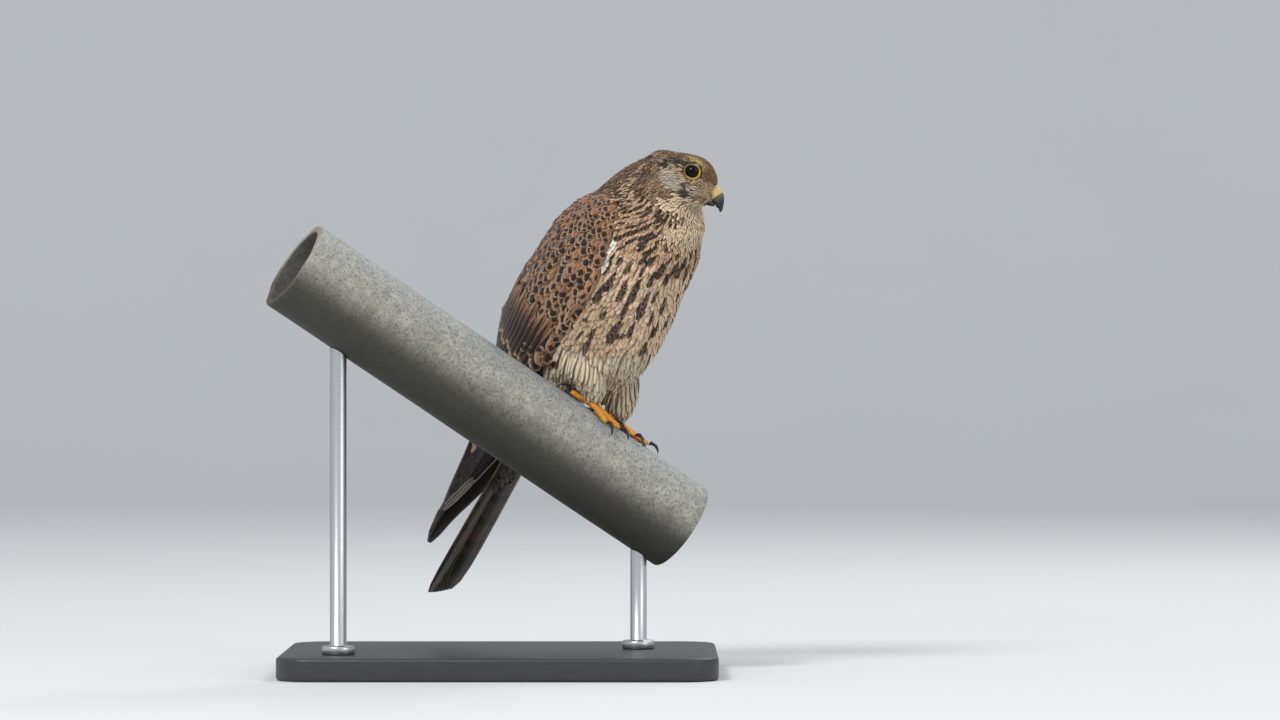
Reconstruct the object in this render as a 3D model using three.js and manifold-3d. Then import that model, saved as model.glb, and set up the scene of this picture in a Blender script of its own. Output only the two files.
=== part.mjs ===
// A life-size common kestrel perched on a sloping length of pipe, on a plain display stand.
// Millimetres, +Z up. The origin is the centre of the stand's underside.
// The bird's profile is seen along +Y.
import * as THREE from "three";
import { mergeVertices } from "three/addons/utils/BufferGeometryUtils.js";
import Module from "manifold-3d";

const wasm = await Module();
wasm.setup();

// Driving dimensions
const gap = 0.3; // clearance between neighbouring pieces
const baseLength = 264, baseDepth = 184, baseThickness = 14, baseCorner = 22, baseBevel = 2.5;
const rodRadius = 5, rodCollarRadius = 10, rodCollarHeight = 5;
const rodPlaces = [-96, 84]; // along X
const pipeRadius = 28.5, pipeWall = 4.5, pipeLength = 292, pipeSegments = 32, pipeBevel = 0.6;
const pipeSlope = THREE.MathUtils.degToRad(34.4); // fall towards +X, as seen along +Y
const pipeTurn = THREE.MathUtils.degToRad(15.5); // the high end comes towards the viewer
const pipeCrossing = new THREE.Vector3(0, -18, 163.5); // where the pipe's axis crosses X = 0
const pipeHighEnd = 154; // from that crossing to the cut end
const heading = THREE.MathUtils.degToRad(36); // the breast is turned from +X towards the viewer
const bodyShift = new THREE.Vector3(-2.4, 7, 0.6); // of the trunk from above the middle of the feet
const tailSlope = THREE.MathUtils.degToRad(54); // of the trunk and tail, below the horizontal
const tailRoot = [-32.6, 22.5]; // x and z of the tail's root, ahead of and above the feet
const headCentre = [60.5, 0, 143.9], headPitch = 22, headYaw = 29; // degrees
const eyeRadius = 5.2, eyeOpening = 4.1, eyePlace = [6.6, 10.4, 8]; // forward, sideways, up
const tarsusRadius = 2.5, toeRadius = 2.3, clawRadius = 1.35;
const footRise = 1.2; // of the foot's middle over its toes
const clawOverlap = 0.2; // how far a claw starts inside its toe

// Colours of the plain solids
const finish = (color, roughness, metalness = 0) =>
  new THREE.MeshStandardMaterial({ color, roughness, metalness });
const rufous = finish(0x8c5a3c, 0.85);
const buff = finish(0xc9a883, 0.9);
const greyBrown = finish(0x9c8468, 0.9);
const darkVane = finish(0x2e2420, 0.7);
const yellowSkin = finish(0xe8a51c, 0.5);
const blackHorn = finish(0x16181b, 0.35);
const eyeBrown = finish(0x1a0f0a, 0.08);
const pipeGrey = finish(0x8d8f8c, 0.75, 0.3);
const standPaint = finish(0x2b2c2e, 0.5);
const rodMetal = finish(0x9fa1a3, 0.35, 0.9);

// Solids

// The smooth curve through the stations, at a place. A station is a list that starts with its place.
function stationAt(stations, place) {
  const last = stations.length - 1;
  let i = 0;
  while (i < last - 1 && place > stations[i + 1][0]) i++;
  const a = stations[Math.max(i - 1, 0)], b = stations[i];
  const c = stations[i + 1], d = stations[Math.min(i + 2, last)];
  const t = Math.min(Math.max((place - b[0]) / (c[0] - b[0]), 0), 1);
  return b.map((value, k) => {
    const slopeB = (c[k] - a[k]) / (c[0] - a[0]) * (c[0] - b[0]);
    const slopeC = (d[k] - value) / (d[0] - b[0]) * (c[0] - b[0]);
    const t2 = t * t, t3 = t2 * t;
    const ease = 3 * t2 - 2 * t3;
    return (1 - ease) * value + ease * c[k] + (t3 - 2 * t2 + t) * slopeB + (t3 - t2) * slopeC;
  });
}

// A closed solid through rings of points, with a fan at each end.
function loft(rings) {
  const count = rings[0].length;
  const points = rings.flat();
  const middle = (ring) => ring.reduce((sum, p) => sum.add(p), new THREE.Vector3()).divideScalar(count);
  const first = points.push(middle(rings[0])) - 1;
  const end = points.push(middle(rings.at(-1))) - 1;
  const index = [];
  for (let r = 0; r < rings.length - 1; r++) {
    for (let i = 0; i < count; i++) {
      const a = r * count + i, b = r * count + (i + 1) % count;
      index.push(a, b, a + count, b, b + count, a + count);
    }
  }
  const top = (rings.length - 1) * count;
  for (let i = 0; i < count; i++) {
    index.push(first, (i + 1) % count, i, end, top + i, top + (i + 1) % count);
  }
  const geometry = new THREE.BufferGeometry().setFromPoints(points);
  geometry.setIndex(index);
  return outward(geometry);
}

// The geometry with its faces turned to point out.
function outward(geometry) {
  const solid = solidOf(geometry);
  return solid.volume() < 0 ? geometryOf(solidOf(geometry, true)) : geometryOf(solid);
}

function solidOf(geometry, flip = false) {
  const bare = new THREE.BufferGeometry().setAttribute("position", geometry.getAttribute("position").clone());
  if (geometry.index) bare.setIndex(geometry.index.clone());
  const merged = mergeVertices(bare, 1e-4);
  const triVerts = new Uint32Array(merged.index.array);
  if (flip) triVerts.reverse();
  const vertProperties = merged.attributes.position.array;
  return new wasm.Manifold(new wasm.Mesh({ numProp: 3, vertProperties, triVerts }));
}

function geometryOf(solid) {
  const mesh = solid.getMesh();
  const geometry = new THREE.BufferGeometry();
  geometry.setAttribute("position", new THREE.BufferAttribute(new Float32Array(mesh.vertProperties), 3));
  geometry.setIndex(new THREE.BufferAttribute(new Uint32Array(mesh.triVerts), 1));
  return geometry;
}

const cut = (geometry, ...tools) =>
  geometryOf(tools.reduce((solid, tool) => solid.subtract(solidOf(tool)), solidOf(geometry)));
const join = (...pieces) =>
  geometryOf(pieces.map((piece) => solidOf(piece)).reduce((all, piece) => all.add(piece)));
const keepInside = (geometry, tool) => geometryOf(solidOf(geometry).intersect(solidOf(tool)));

// The largest body of a geometry, without slivers that a cut leaves.
function mainBody(geometry) {
  const bodies = solidOf(geometry).decompose();
  return geometryOf(bodies.reduce((best, body) => (body.volume() > best.volume() ? body : best)));
}

// A ring of an egg-shaped section: sideways half-width, and the heights of its top and bottom.
function eggRing(count, halfWidth, top, bottom, place) {
  const middle = (top + bottom) / 2, half = (top - bottom) / 2;
  return Array.from({ length: count }, (_, i) => {
    const angle = (i / count) * 2 * Math.PI;
    return place(halfWidth * Math.cos(angle), middle + half * Math.sin(angle));
  });
}

// A tube through points, with a radius at each, rounded where the radii make it so.
function taperedTube(points, radii, sides, flatten = 1) {
  const curve = new THREE.CatmullRomCurve3(points);
  const steps = radii.length - 1;
  const frames = curve.computeFrenetFrames(steps);
  return loft(radii.map((radius, i) => {
    const centre = curve.getPointAt(i / steps);
    return Array.from({ length: sides }, (_, k) => {
      const angle = (k / sides) * 2 * Math.PI;
      return centre.clone()
        .addScaledVector(frames.normals[i], radius * Math.cos(angle))
        .addScaledVector(frames.binormals[i], radius * flatten * Math.sin(angle));
    });
  }));
}

// A big box that fills one side of a plane.
function halfSpace(point, normal, size = 400) {
  const box = new THREE.BoxGeometry(size, size, size);
  box.translate(0, 0, size / 2);
  const out = normal.clone().normalize();
  box.applyQuaternion(new THREE.Quaternion().setFromUnitVectors(new THREE.Vector3(0, 0, 1), out));
  box.translate(point.x, point.y, point.z);
  return box;
}

// Trunk frame: along the tail from its root, sideways, and towards the back.
function trunkPoint(along, sideways, back) {
  const c = Math.cos(tailSlope), s = Math.sin(tailSlope);
  return new THREE.Vector3(tailRoot[0] - c * along - s * back, sideways, tailRoot[1] - s * along + c * back);
}

// Trunk stations: along, half-width, back, belly.
const trunkStations = [
  [-143, 17, 10, -15],
  [-128, 30.5, 30, -33],
  [-110, 37, 42, -39.5],
  [-90, 38, 47.5, -41.5],
  [-70, 38.5, 49, -45.5],
  [-50, 37, 47, -45.5],
  [-30, 33.5, 42, -38],
  [-10, 27, 32, -24.5],
  [10, 19.5, 20, -13.5],
  [35, 14, 7, -9],
  [58, 10.5, 1, -5.6],
  [76, 6.5, -0.4, -2.8],
];

function lofted(stations, steps, count, place, grow = 0) {
  const from = stations[0][0], to = stations.at(-1)[0];
  return loft(Array.from({ length: steps + 1 }, (_, i) => {
    const [at, halfWidth, top, bottom] = stationAt(stations, from + (to - from) * (i / steps));
    return eggRing(count, halfWidth + grow, top + grow, bottom - grow, (side, up) => place(at, side, up));
  }));
}

const trunkForm = () => lofted(trunkStations, 16, 20, trunkPoint);

// Tail stations: along, half-width, upper face, lower face.
const tailStations = [
  [-4, 8, 3.4, -3.4],
  [40, 17, 2.6, -2.6],
  [80, 20, 2.1, -1.9],
  [105, 20, 1.8, -1.4],
  [130, 18, 1.5, -1],
  [150, 15, 1.2, -0.8],
  [160, 12, 1, -0.6],
  [165, 8.5, 0.8, -0.5],
];
const tailForm = (grow = 0) => lofted(tailStations, 11, 8, trunkPoint, grow);

// Wing stations: along, then sideways and back of the front edge and of the rear edge, bulge and thickness.
const wingStations = [
  [-129, 31, 4, 24, 17, 2, 2.5],
  [-122, 35.5, -2, 20, 30, 8, 5],
  [-101, 39.5, -8, 14, 45, 12, 7],
  [-81, 41, -12, 8, 52, 15, 8],
  [-49, 38, -9, 5, 55.5, 15, 8],
  [-12, 30, -1, 3.4, 54, 11, 7],
  [6, 25.5, 2.5, 3.2, 47.5, 8.5, 6],
  [35, 20.5, 7, 3, 38.5, 6, 4.5],
  [65, 17.5, 8.5, 2.6, 31, 4.6, 3.4],
  [97, 14.5, 12, 2.4, 27, 3.4, 2.4],
  [122, 11, 16.5, 3.2, 23.5, 1.6, 1.6],
  [138, 8.2, 19, 6.4, 20.6, 0.4, 1],
];
const wingSteps = 17, wingArc = 5;

// One folded wing as a curved shell. side is -1 for the right wing and 1 for the left.
function wingForm(side, grow = 0) {
  const from = wingStations[0][0] - grow, to = wingStations.at(-1)[0] + grow;
  return loft(Array.from({ length: wingSteps + 1 }, (_, i) => {
    const at = from + (to - from) * (i / wingSteps);
    const [, fs, fb, rs, rb, bulge, thick] = stationAt(wingStations, at);
    const length = Math.hypot(rs - fs, rb - fb);
    const chord = [(rs - fs) / length, (rb - fb) / length];
    const out = [chord[1], -chord[0]];
    const point = (q, lift) => {
      const reach = q * (length + 2 * grow) - grow;
      const sideways = fs + chord[0] * reach + out[0] * lift;
      return trunkPoint(at, side * sideways, fb + chord[1] * reach + out[1] * lift);
    };
    const outer = [], inner = [];
    for (let k = 0; k <= wingArc; k++) {
      const q = k / wingArc, arch = 4 * bulge * q * (1 - q);
      const depth = thick * (0.25 + 0.75 * Math.sin(Math.PI * q));
      outer.push(point(q, arch + grow + thick * 0.12));
      inner.push(point(1 - q, arch - depth - grow));
    }
    return [...outer, ...inner];
  }));
}

// Neck stations: place, x, z, half-width, back, throat, and the lean of the section in degrees.
const neckStations = [
  [0, 22, 112, 32, 33, -38, 56],
  [0.35, 36, 125, 30, 31.5, -38.5, 50],
  [0.65, 47, 136, 26.5, 26, -37.5, 42],
  [0.85, 54, 142, 21.5, 21, -30.5, 34],
  [1, 60, 146, 13, 14, -16, 26],
];
function neckForm() {
  const steps = 7, count = 20;
  return loft(Array.from({ length: steps + 1 }, (_, i) => {
    const [, x, z, halfWidth, back, throat, lean] = stationAt(neckStations, i / steps);
    const a = THREE.MathUtils.degToRad(lean);
    return eggRing(count, halfWidth, back, throat, (side, up) =>
      new THREE.Vector3(x - Math.sin(a) * up, side, z + Math.cos(a) * up));
  }));
}

// Head frame: forward along the bill, sideways to the left, and up.
const headMatrix = new THREE.Matrix4()
  .makeRotationZ(THREE.MathUtils.degToRad(headYaw))
  .multiply(new THREE.Matrix4().makeRotationY(THREE.MathUtils.degToRad(headPitch)))
  .setPosition(...headCentre);
const headPoint = (forward, sideways, up) =>
  new THREE.Vector3(forward, sideways, up).applyMatrix4(headMatrix);
const inHead = (geometry) => geometry.applyMatrix4(headMatrix);

// Head stations: forward, half-width, crown, chin.
const headStations = [
  [-24, 6, 6, -9],
  [-18, 13, 13, -15],
  [-10, 16.4, 14.6, -16.4],
  [-2, 17.4, 16.6, -16.4],
  [5, 16.8, 17.8, -15.4],
  [11, 14.8, 17.4, -13.6],
  [16, 11.8, 15, -11.4],
  [20, 8.6, 11, -9.2],
  [22.6, 6, 6.6, -7.2],
  [23.8, 3.8, 4, -5.4],
];
const headForm = () => lofted(headStations, 12, 16, headPoint);

// Upper bill stations along its curve: forward, height of the middle, half-width, half-depth.
const upperBill = [
  [17.6, 1.2, 4.9, 4.5],
  [20.8, 1.5, 4.9, 4.4],
  [23.4, 0.9, 4.5, 4.1],
  [25.5, -0.5, 3.8, 3.6],
  [27.1, -2.5, 2.8, 2.8],
  [28.5, -4.6, 1.7, 2],
  [29.6, -6.6, 0.9, 1.2],
  [30, -8.6, 0.35, 0.45],
];
const lowerBill = [
  [14.4, -4.6, 4.2, 2.6],
  [17.8, -5.4, 4.1, 2.4],
  [20.8, -6, 3.4, 2],
  [23.2, -6.3, 2.4, 1.5],
  [25, -6.1, 1, 0.8],
];
function billForm(stations, steps, grow = 0) {
  const path = new THREE.CatmullRomCurve3(stations.map(([f, h]) => new THREE.Vector3(f, 0, h)));
  const placed = stations.map(([, , width, depth], i) => [i / (stations.length - 1), width, depth]);
  return loft(Array.from({ length: steps + 1 }, (_, i) => {
    const t = i / steps;
    const centre = path.getPoint(t), along = path.getTangent(t);
    const [, width, depth] = stationAt(placed, t);
    const up = new THREE.Vector3(-along.z, 0, along.x);
    return eggRing(10, width + grow, depth + grow, -depth - grow, (side, rise) =>
      headPoint(centre.x + up.x * rise, side, centre.z + up.z * rise));
  }));
}
const cereFront = 25.2; // forward of which the bill is bare horn

// Thigh stations: place, x, y, z, half-width, half-depth. y is for the left leg.
const thighStations = [
  [0, -8, 17, 52, 16, 20],
  [0.35, 1, 16.5, 37, 15, 17],
  [0.7, 7, 14.5, 22, 11, 12],
  [1, 9.5, 12.5, 9, 5, 5.4],
];
function thighForm(side, shift, grow = 0) {
  const steps = 7, count = 12;
  return loft(Array.from({ length: steps + 1 }, (_, i) => {
    const [t, x, y, z, width, depth] = stationAt(thighStations, i / steps);
    return eggRing(count, width + grow, depth + grow, -depth - grow, (across, fore) =>
      new THREE.Vector3(x + fore + shift[0] * t, side * y + across + shift[1] * t, z + shift[2] * t));
  }));
}

// Pipe frame
const pipeAxis = new THREE.Vector3(
  Math.cos(pipeTurn) * Math.cos(pipeSlope), Math.sin(pipeTurn), -Math.cos(pipeTurn) * Math.sin(pipeSlope));
const pipeUp = new THREE.Vector3(0, 0, 1).addScaledVector(pipeAxis, -pipeAxis.z).normalize();
const pipeNear = new THREE.Vector3().crossVectors(pipeAxis, pipeUp); // level, towards the viewer
const onPipe = (along, angle, height) => pipeCrossing.clone()
  .addScaledVector(pipeAxis, along)
  .addScaledVector(pipeUp, Math.cos(angle) * (pipeRadius + height))
  .addScaledVector(pipeNear, Math.sin(angle) * (pipeRadius + height));
const feetAlong = 60; // along the pipe from its crossing to the middle between the feet
const feetMiddle = onPipe(feetAlong, 0, 0);

// The pipe in four lengthwise quarters, so that its bore stays open.
function pipeQuarters() {
  const bore = pipeRadius - pipeWall, half = pipeLength / 2;
  const profile = [
    new THREE.Vector2(bore, -half),
    new THREE.Vector2(pipeRadius - pipeBevel, -half),
    new THREE.Vector2(pipeRadius, -half + pipeBevel),
    new THREE.Vector2(pipeRadius, half - pipeBevel),
    new THREE.Vector2(pipeRadius - pipeBevel, half),
    new THREE.Vector2(bore, half),
    new THREE.Vector2(bore, -half),
  ];
  const tube = new THREE.LatheGeometry(profile, pipeSegments);
  const turn = new THREE.Quaternion().setFromUnitVectors(new THREE.Vector3(0, 1, 0), pipeAxis);
  const middle = pipeCrossing.clone().addScaledVector(pipeAxis, pipeLength / 2 - pipeHighEnd);
  const whole = outward(tube.applyQuaternion(turn).translate(middle.x, middle.y, middle.z));
  return ["top", "near", "bottom", "far"].map((name, i) => {
    const sides = [0.5 * i - 0.75, 0.5 * i + 0.75].map((turns) => {
      const away = new THREE.Vector3()
        .addScaledVector(pipeUp, Math.cos(turns * Math.PI))
        .addScaledVector(pipeNear, Math.sin(turns * Math.PI));
      return halfSpace(middle.clone().addScaledVector(away, -gap / 2), away);
    });
    return { name, form: cut(whole, ...sides) };
  });
}

// A closed cylinder round the pipe's axis, for cutting what rests on it.
function pipeRound(radius) {
  const rod = new THREE.CylinderGeometry(radius, radius, pipeLength + 60, pipeSegments);
  const turn = new THREE.Quaternion().setFromUnitVectors(new THREE.Vector3(0, 1, 0), pipeAxis);
  return rod.applyQuaternion(turn).translate(...pipeCrossing.clone().addScaledVector(pipeAxis, -8).toArray());
}

// Feet: each toe runs over the pipe from the foot's middle.
// Its turn is in degrees from the pipe's fall to the near side.
const toeLengths = { inner: 19, middle: 25, outer: 19, hind: 13 };
const feet = {
  right: {
    along: feetAlong - 15, round: 0.2, side: -1,
    turns: { inner: 2, middle: 24, outer: 47, hind: 186 },
  },
  left: {
    along: feetAlong + 9, round: -0.22, side: 1,
    turns: { inner: 52, middle: 24, outer: -4, hind: 196 },
  },
};
const toesOf = (foot) => Object.entries(toeLengths).map(([name, length]) =>
  ({ name, length, turn: THREE.MathUtils.degToRad(foot.turns[name]) }));
const footHeight = toeRadius + gap + footRise;

function toePath(foot, toe, reach, height) {
  const round = foot.round + (Math.sin(toe.turn) * reach) / (pipeRadius + height);
  return onPipe(foot.along + Math.cos(toe.turn) * reach, round, height);
}

function toeForm(foot, toe) {
  const rest = toeRadius + gap;
  const points = [0, 0.3, 0.55, 0.8, 1].map((t) =>
    toePath(foot, toe, t * toe.length, t === 0 ? footHeight : rest + (t === 0.3 ? 0.9 : 0)));
  const swell = [0.95, 1.12, 0.95, 1.1, 0.9, 1.02, 0.6];
  return taperedTube(points, swell.map((s, i) => toeRadius * s * (1 - 0.16 * (i / (swell.length - 1)))), 7);
}

function clawForm(foot, toe) {
  const start = toe.length - clawOverlap;
  const length = toe.name === "inner" || toe.name === "hind" ? 9.5 : 8.5;
  const points = [[0, 2.9], [0.3, 4.3], [0.6, 4], [0.85, 2.6], [1, 0.9]].map(([t, height]) =>
    toePath(foot, toe, start + t * length, height));
  return taperedTube(points, [1, 0.96, 0.8, 0.58, 0.2].map((s) => clawRadius * s), 6);
}

// Stand

function base() {
  const x = baseLength / 2 - baseCorner - baseBevel, y = baseDepth / 2 - baseCorner - baseBevel;
  const outline = new THREE.Shape();
  outline.absarc(x, y, baseCorner, 0, Math.PI / 2);
  outline.absarc(-x, y, baseCorner, Math.PI / 2, Math.PI);
  outline.absarc(-x, -y, baseCorner, Math.PI, Math.PI * 1.5);
  outline.absarc(x, -y, baseCorner, Math.PI * 1.5, Math.PI * 2);
  const board = new THREE.ExtrudeGeometry(outline, {
    depth: baseThickness - 2 * baseBevel, bevelThickness: baseBevel, bevelSize: baseBevel,
    bevelSegments: 1, curveSegments: 5,
  });
  return outward(board.translate(0, 0, baseBevel));
}

function rod(x) {
  const along = x / pipeAxis.x;
  const y = pipeCrossing.y + pipeAxis.y * along;
  const top = pipeCrossing.z + pipeAxis.z * along;
  const foot = baseThickness + gap;
  const profile = [
    new THREE.Vector2(0, foot), new THREE.Vector2(rodCollarRadius, foot),
    new THREE.Vector2(rodCollarRadius, foot + rodCollarHeight - 1),
    new THREE.Vector2(rodCollarRadius - 1, foot + rodCollarHeight),
    new THREE.Vector2(rodRadius, foot + rodCollarHeight),
    new THREE.Vector2(rodRadius, top), new THREE.Vector2(0, top),
  ];
  const turned = new THREE.LatheGeometry(profile, 16).rotateX(Math.PI / 2).translate(x, y, 0);
  return mainBody(cut(outward(turned), pipeRound(pipeRadius + gap)));
}

// Assembly

const kestrel = new THREE.Group();
kestrel.name = "kestrel";
const bird = new THREE.Group();
bird.position.copy(feetMiddle).add(bodyShift);
bird.rotation.z = -heading;
kestrel.add(bird);
bird.updateMatrixWorld(true);
const worldToBird = bird.matrixWorld.clone().invert();

function add(group, name, geometry, material) {
  const mesh = new THREE.Mesh(geometry, material);
  mesh.name = name;
  group.add(mesh);
}

function addStand() {
  add(kestrel, "stand_base", base(), standPaint);
  rodPlaces.forEach((x, i) => add(kestrel, "stand_rod_" + ["high", "low"][i], rod(x), rodMetal));
  pipeQuarters().forEach(({ name, form }) => add(kestrel, "perch_pipe_" + name, form, pipeGrey));
}

function addLegs() {
  const pipeSkin = pipeRound(pipeRadius + gap);
  const thighs = [];
  for (const [name, foot] of Object.entries(feet)) {
    const toes = toesOf(foot);
    const ankle = onPipe(foot.along, foot.round, footHeight + 6).applyMatrix4(worldToBird);
    const [, x, y, z] = thighStations.at(-1);
    const shift = [ankle.x - x, ankle.y - foot.side * y, ankle.z - z];
    const thigh = thighForm(foot.side, shift);
    const thighSkin = thighForm(foot.side, shift, gap);
    thighs.push({ name, thigh, thighSkin });
    const shank = taperedTube([-0.6, 6, 14].map((rise) => onPipe(foot.along, foot.round, footHeight + rise)),
      [1.3, 1.15, 1, 1].map((s) => tarsusRadius * s), 8);
    const whole = join(shank, ...toes.map((toe) => toeForm(foot, toe)));
    const inWorld = thighSkin.clone().applyMatrix4(bird.matrixWorld);
    const claws = toes.map((toe) => clawForm(foot, toe));
    add(kestrel, "foot_" + name, mainBody(cut(whole, pipeSkin, inWorld, ...claws)), yellowSkin);
    toes.forEach((toe, i) => {
      const toeEnd = toePath(foot, toe, toe.length, toeRadius);
      const backwards = toePath(foot, toe, toe.length - 4, toeRadius).sub(toeEnd);
      const side = halfSpace(toePath(foot, toe, toe.length + gap, toeRadius), backwards, 60);
      add(kestrel, "claw_" + name + "_" + toe.name, mainBody(cut(claws[i], pipeSkin, side)), blackHorn);
    });
  }
  return thighs;
}

function addBird(thighs) {
  const rightWing = wingForm(-1), leftWing = wingForm(1);
  const wingTools = [wingForm(-1, gap), wingForm(1, gap)];
  const pipeInBird = pipeRound(pipeRadius + 1).applyMatrix4(worldToBird);
  const thighTools = thighs.map(({ thighSkin }) => thighSkin);

  const flesh = join(trunkForm(), neckForm(), headForm());
  const headCut = headPoint(-13, 0, -9), headWay = headPoint(-9, 0, 0).sub(headCut).normalize();
  const neckCut = new THREE.Vector3(33, 0, 121), neckWay = new THREE.Vector3(0.64, 0.05, 0.766);
  const step = (point, way) => point.clone().addScaledVector(way, gap);
  const eyes = [1, -1].map((side) => {
    const [forward, sideways, up] = eyePlace;
    const ball = (radius) => inHead(new THREE.SphereGeometry(radius, 14, 9).rotateX(Math.PI / 2)
      .translate(forward, side * sideways, up));
    const opening = inHead(new THREE.CylinderGeometry(eyeOpening, eyeOpening, 10, 14)
      .translate(forward, side * (sideways + 5), up));
    return { side, ball: ball(eyeRadius), tools: [ball(eyeRadius + gap), opening] };
  });
  const upper = billForm(upperBill, 11), upperSkin = billForm(upperBill, 11, gap);
  const lower = billForm(lowerBill, 6), lowerSkin = billForm(lowerBill, 6, gap);
  const headSide = halfSpace(step(headCut, headWay), headWay), notHead = halfSpace(headCut, headWay);
  const neckSide = halfSpace(step(neckCut, neckWay), neckWay), notNeck = halfSpace(neckCut, neckWay);
  const front = new THREE.Vector3(1, 0, 0).transformDirection(headMatrix);

  const around = [...wingTools, tailForm(gap), pipeInBird];
  const openings = eyes.flatMap(({ tools }) => tools);
  const head = cut(keepInside(flesh, headSide), ...openings, upperSkin, lowerSkin, ...wingTools);
  add(bird, "head", mainBody(head), greyBrown);
  add(bird, "neck", mainBody(cut(keepInside(flesh, neckSide), notHead, ...wingTools)), greyBrown);
  add(bird, "trunk", mainBody(cut(flesh, notNeck, notHead, ...thighTools, ...around)), buff);
  thighs.forEach(({ name, thigh }) => {
    const others = name === "left" ? [thighTools[0]] : [];
    add(bird, "thigh_" + name, mainBody(cut(thigh, ...others, ...around)), buff);
  });
  add(bird, "wing_right", mainBody(cut(rightWing, pipeInBird, tailForm(gap))), rufous);
  add(bird, "wing_left", mainBody(cut(leftWing, pipeInBird, tailForm(gap))), rufous);
  add(bird, "tail", tailForm(), darkVane);
  eyes.forEach(({ side, ball }) => add(bird, "eye_" + (side > 0 ? "left" : "right"), ball, eyeBrown));
  const cereEdge = headPoint(cereFront, 0, 0);
  const cereSide = halfSpace(step(cereEdge, front), front.clone().negate());
  add(bird, "bill_upper", mainBody(cut(upper, cereSide)), blackHorn);
  add(bird, "cere", mainBody(cut(upper, halfSpace(cereEdge, front))), yellowSkin);
  add(bird, "bill_lower", mainBody(cut(lower, upperSkin)), blackHorn);
}

addStand();
addBird(addLegs());

export default kestrel;
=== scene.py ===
import functools
import itertools
import math

import bmesh
import bpy
import numpy as np
from mathutils import Matrix, Vector
from mathutils.bvhtree import BVHTree


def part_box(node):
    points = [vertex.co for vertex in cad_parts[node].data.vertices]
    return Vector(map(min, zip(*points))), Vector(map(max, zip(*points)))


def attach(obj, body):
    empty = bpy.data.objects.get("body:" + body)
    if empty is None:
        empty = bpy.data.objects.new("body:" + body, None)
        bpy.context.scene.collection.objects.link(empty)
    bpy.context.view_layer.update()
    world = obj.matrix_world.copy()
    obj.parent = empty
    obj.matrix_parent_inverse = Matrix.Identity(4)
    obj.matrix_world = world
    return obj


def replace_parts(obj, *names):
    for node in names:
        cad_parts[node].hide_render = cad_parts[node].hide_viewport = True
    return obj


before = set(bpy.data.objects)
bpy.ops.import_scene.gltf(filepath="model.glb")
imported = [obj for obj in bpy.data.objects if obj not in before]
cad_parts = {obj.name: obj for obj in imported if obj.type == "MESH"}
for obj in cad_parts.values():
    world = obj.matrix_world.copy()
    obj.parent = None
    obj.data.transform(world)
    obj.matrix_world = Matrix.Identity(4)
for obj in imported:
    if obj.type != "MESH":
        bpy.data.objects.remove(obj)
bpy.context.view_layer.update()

dice = np.random.default_rng(7)
mm = 0.001


# Colours, nodes and materials

def linear(hexColour):
    channels = [((hexColour >> shift) & 255) / 255 for shift in (16, 8, 0)]
    return [c / 12.92 if c <= 0.04045 else ((c + 0.055) / 1.055) ** 2.4 for c in channels]


def paint(hexColour):
    return (*linear(hexColour), 1.0)


# the scale at which noise has blotches about as wide as this many millimetres
def noiseScale(size):
    return 500 / size


# adds one node. Its inputs come in order or in a dictionary, each a value or a socket to link from.
def addNode(tree, kind, *inputs, out=0, **settings):
    node = tree.nodes.new("ShaderNode" + kind)
    for name, value in settings.items():
        setattr(node, name, value)
    named = inputs[0] if inputs and isinstance(inputs[0], dict) else dict(enumerate(inputs))
    for key, value in named.items():
        if isinstance(value, bpy.types.NodeSocket):
            tree.links.new(value, node.inputs[key])
        else:
            node.inputs[key].default_value = value
    return node.outputs if out is None else node.outputs[out]


# settings that many nodes share
times, plus, minus, over = ({"operation": o} for o in ("MULTIPLY", "ADD", "SUBTRACT", "DIVIDE"))
timesPlus, distance, fraction, larger = (
    {"operation": o} for o in ("MULTIPLY_ADD", "ABSOLUTE", "FRACT", "MAXIMUM"))
eased = {"interpolation_type": "SMOOTHSTEP"}
blend = {"data_type": "RGBA", "out": 2}


def newMaterial(name, surface):
    material = bpy.data.materials.new(name)
    material.use_nodes = True
    tree = material.node_tree
    tree.nodes.clear()
    shader = surface(functools.partial(addNode, tree))
    addNode(tree, "OutputMaterial", {"Surface": shader}, out=None)
    return material


# Where the bird stands: the driving sizes of the solids, in millimetres and degrees
stance = {
    "heading": 36,
    "tailSlope": 54,
    "tailRoot": (-32.6, 22.5),
    "headCentre": (60.5, 0, 143.9),
    "headPitch": 22,
    "headYaw": 29,
    "eyePlace": (6.6, 10.4, 8.0),
    "eyeRadius": 5.2,
    "bodyShift": (-2.4, 7, 0.6),
}
pipe = {
    "radius": 28.5,
    "wall": 4.5,
    "length": 292,
    "slope": 34.4,
    "turn": 15.5,
    "crossing": (0, -18, 163.5),
    "highEnd": 154,
    "feetAlong": 60,
}

slope, turn = math.radians(pipe["slope"]), math.radians(pipe["turn"])
pipeAxis = Vector((math.cos(turn) * math.cos(slope), math.sin(turn), -math.cos(turn) * math.sin(slope)))
pipeUp = (Vector((0, 0, 1)) - pipeAxis * pipeAxis.z).normalized()
pipeNear = pipeAxis.cross(pipeUp)
feetMiddle = Vector(pipe["crossing"]) + pipeAxis * pipe["feetAlong"] + pipeUp * pipe["radius"]

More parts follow.
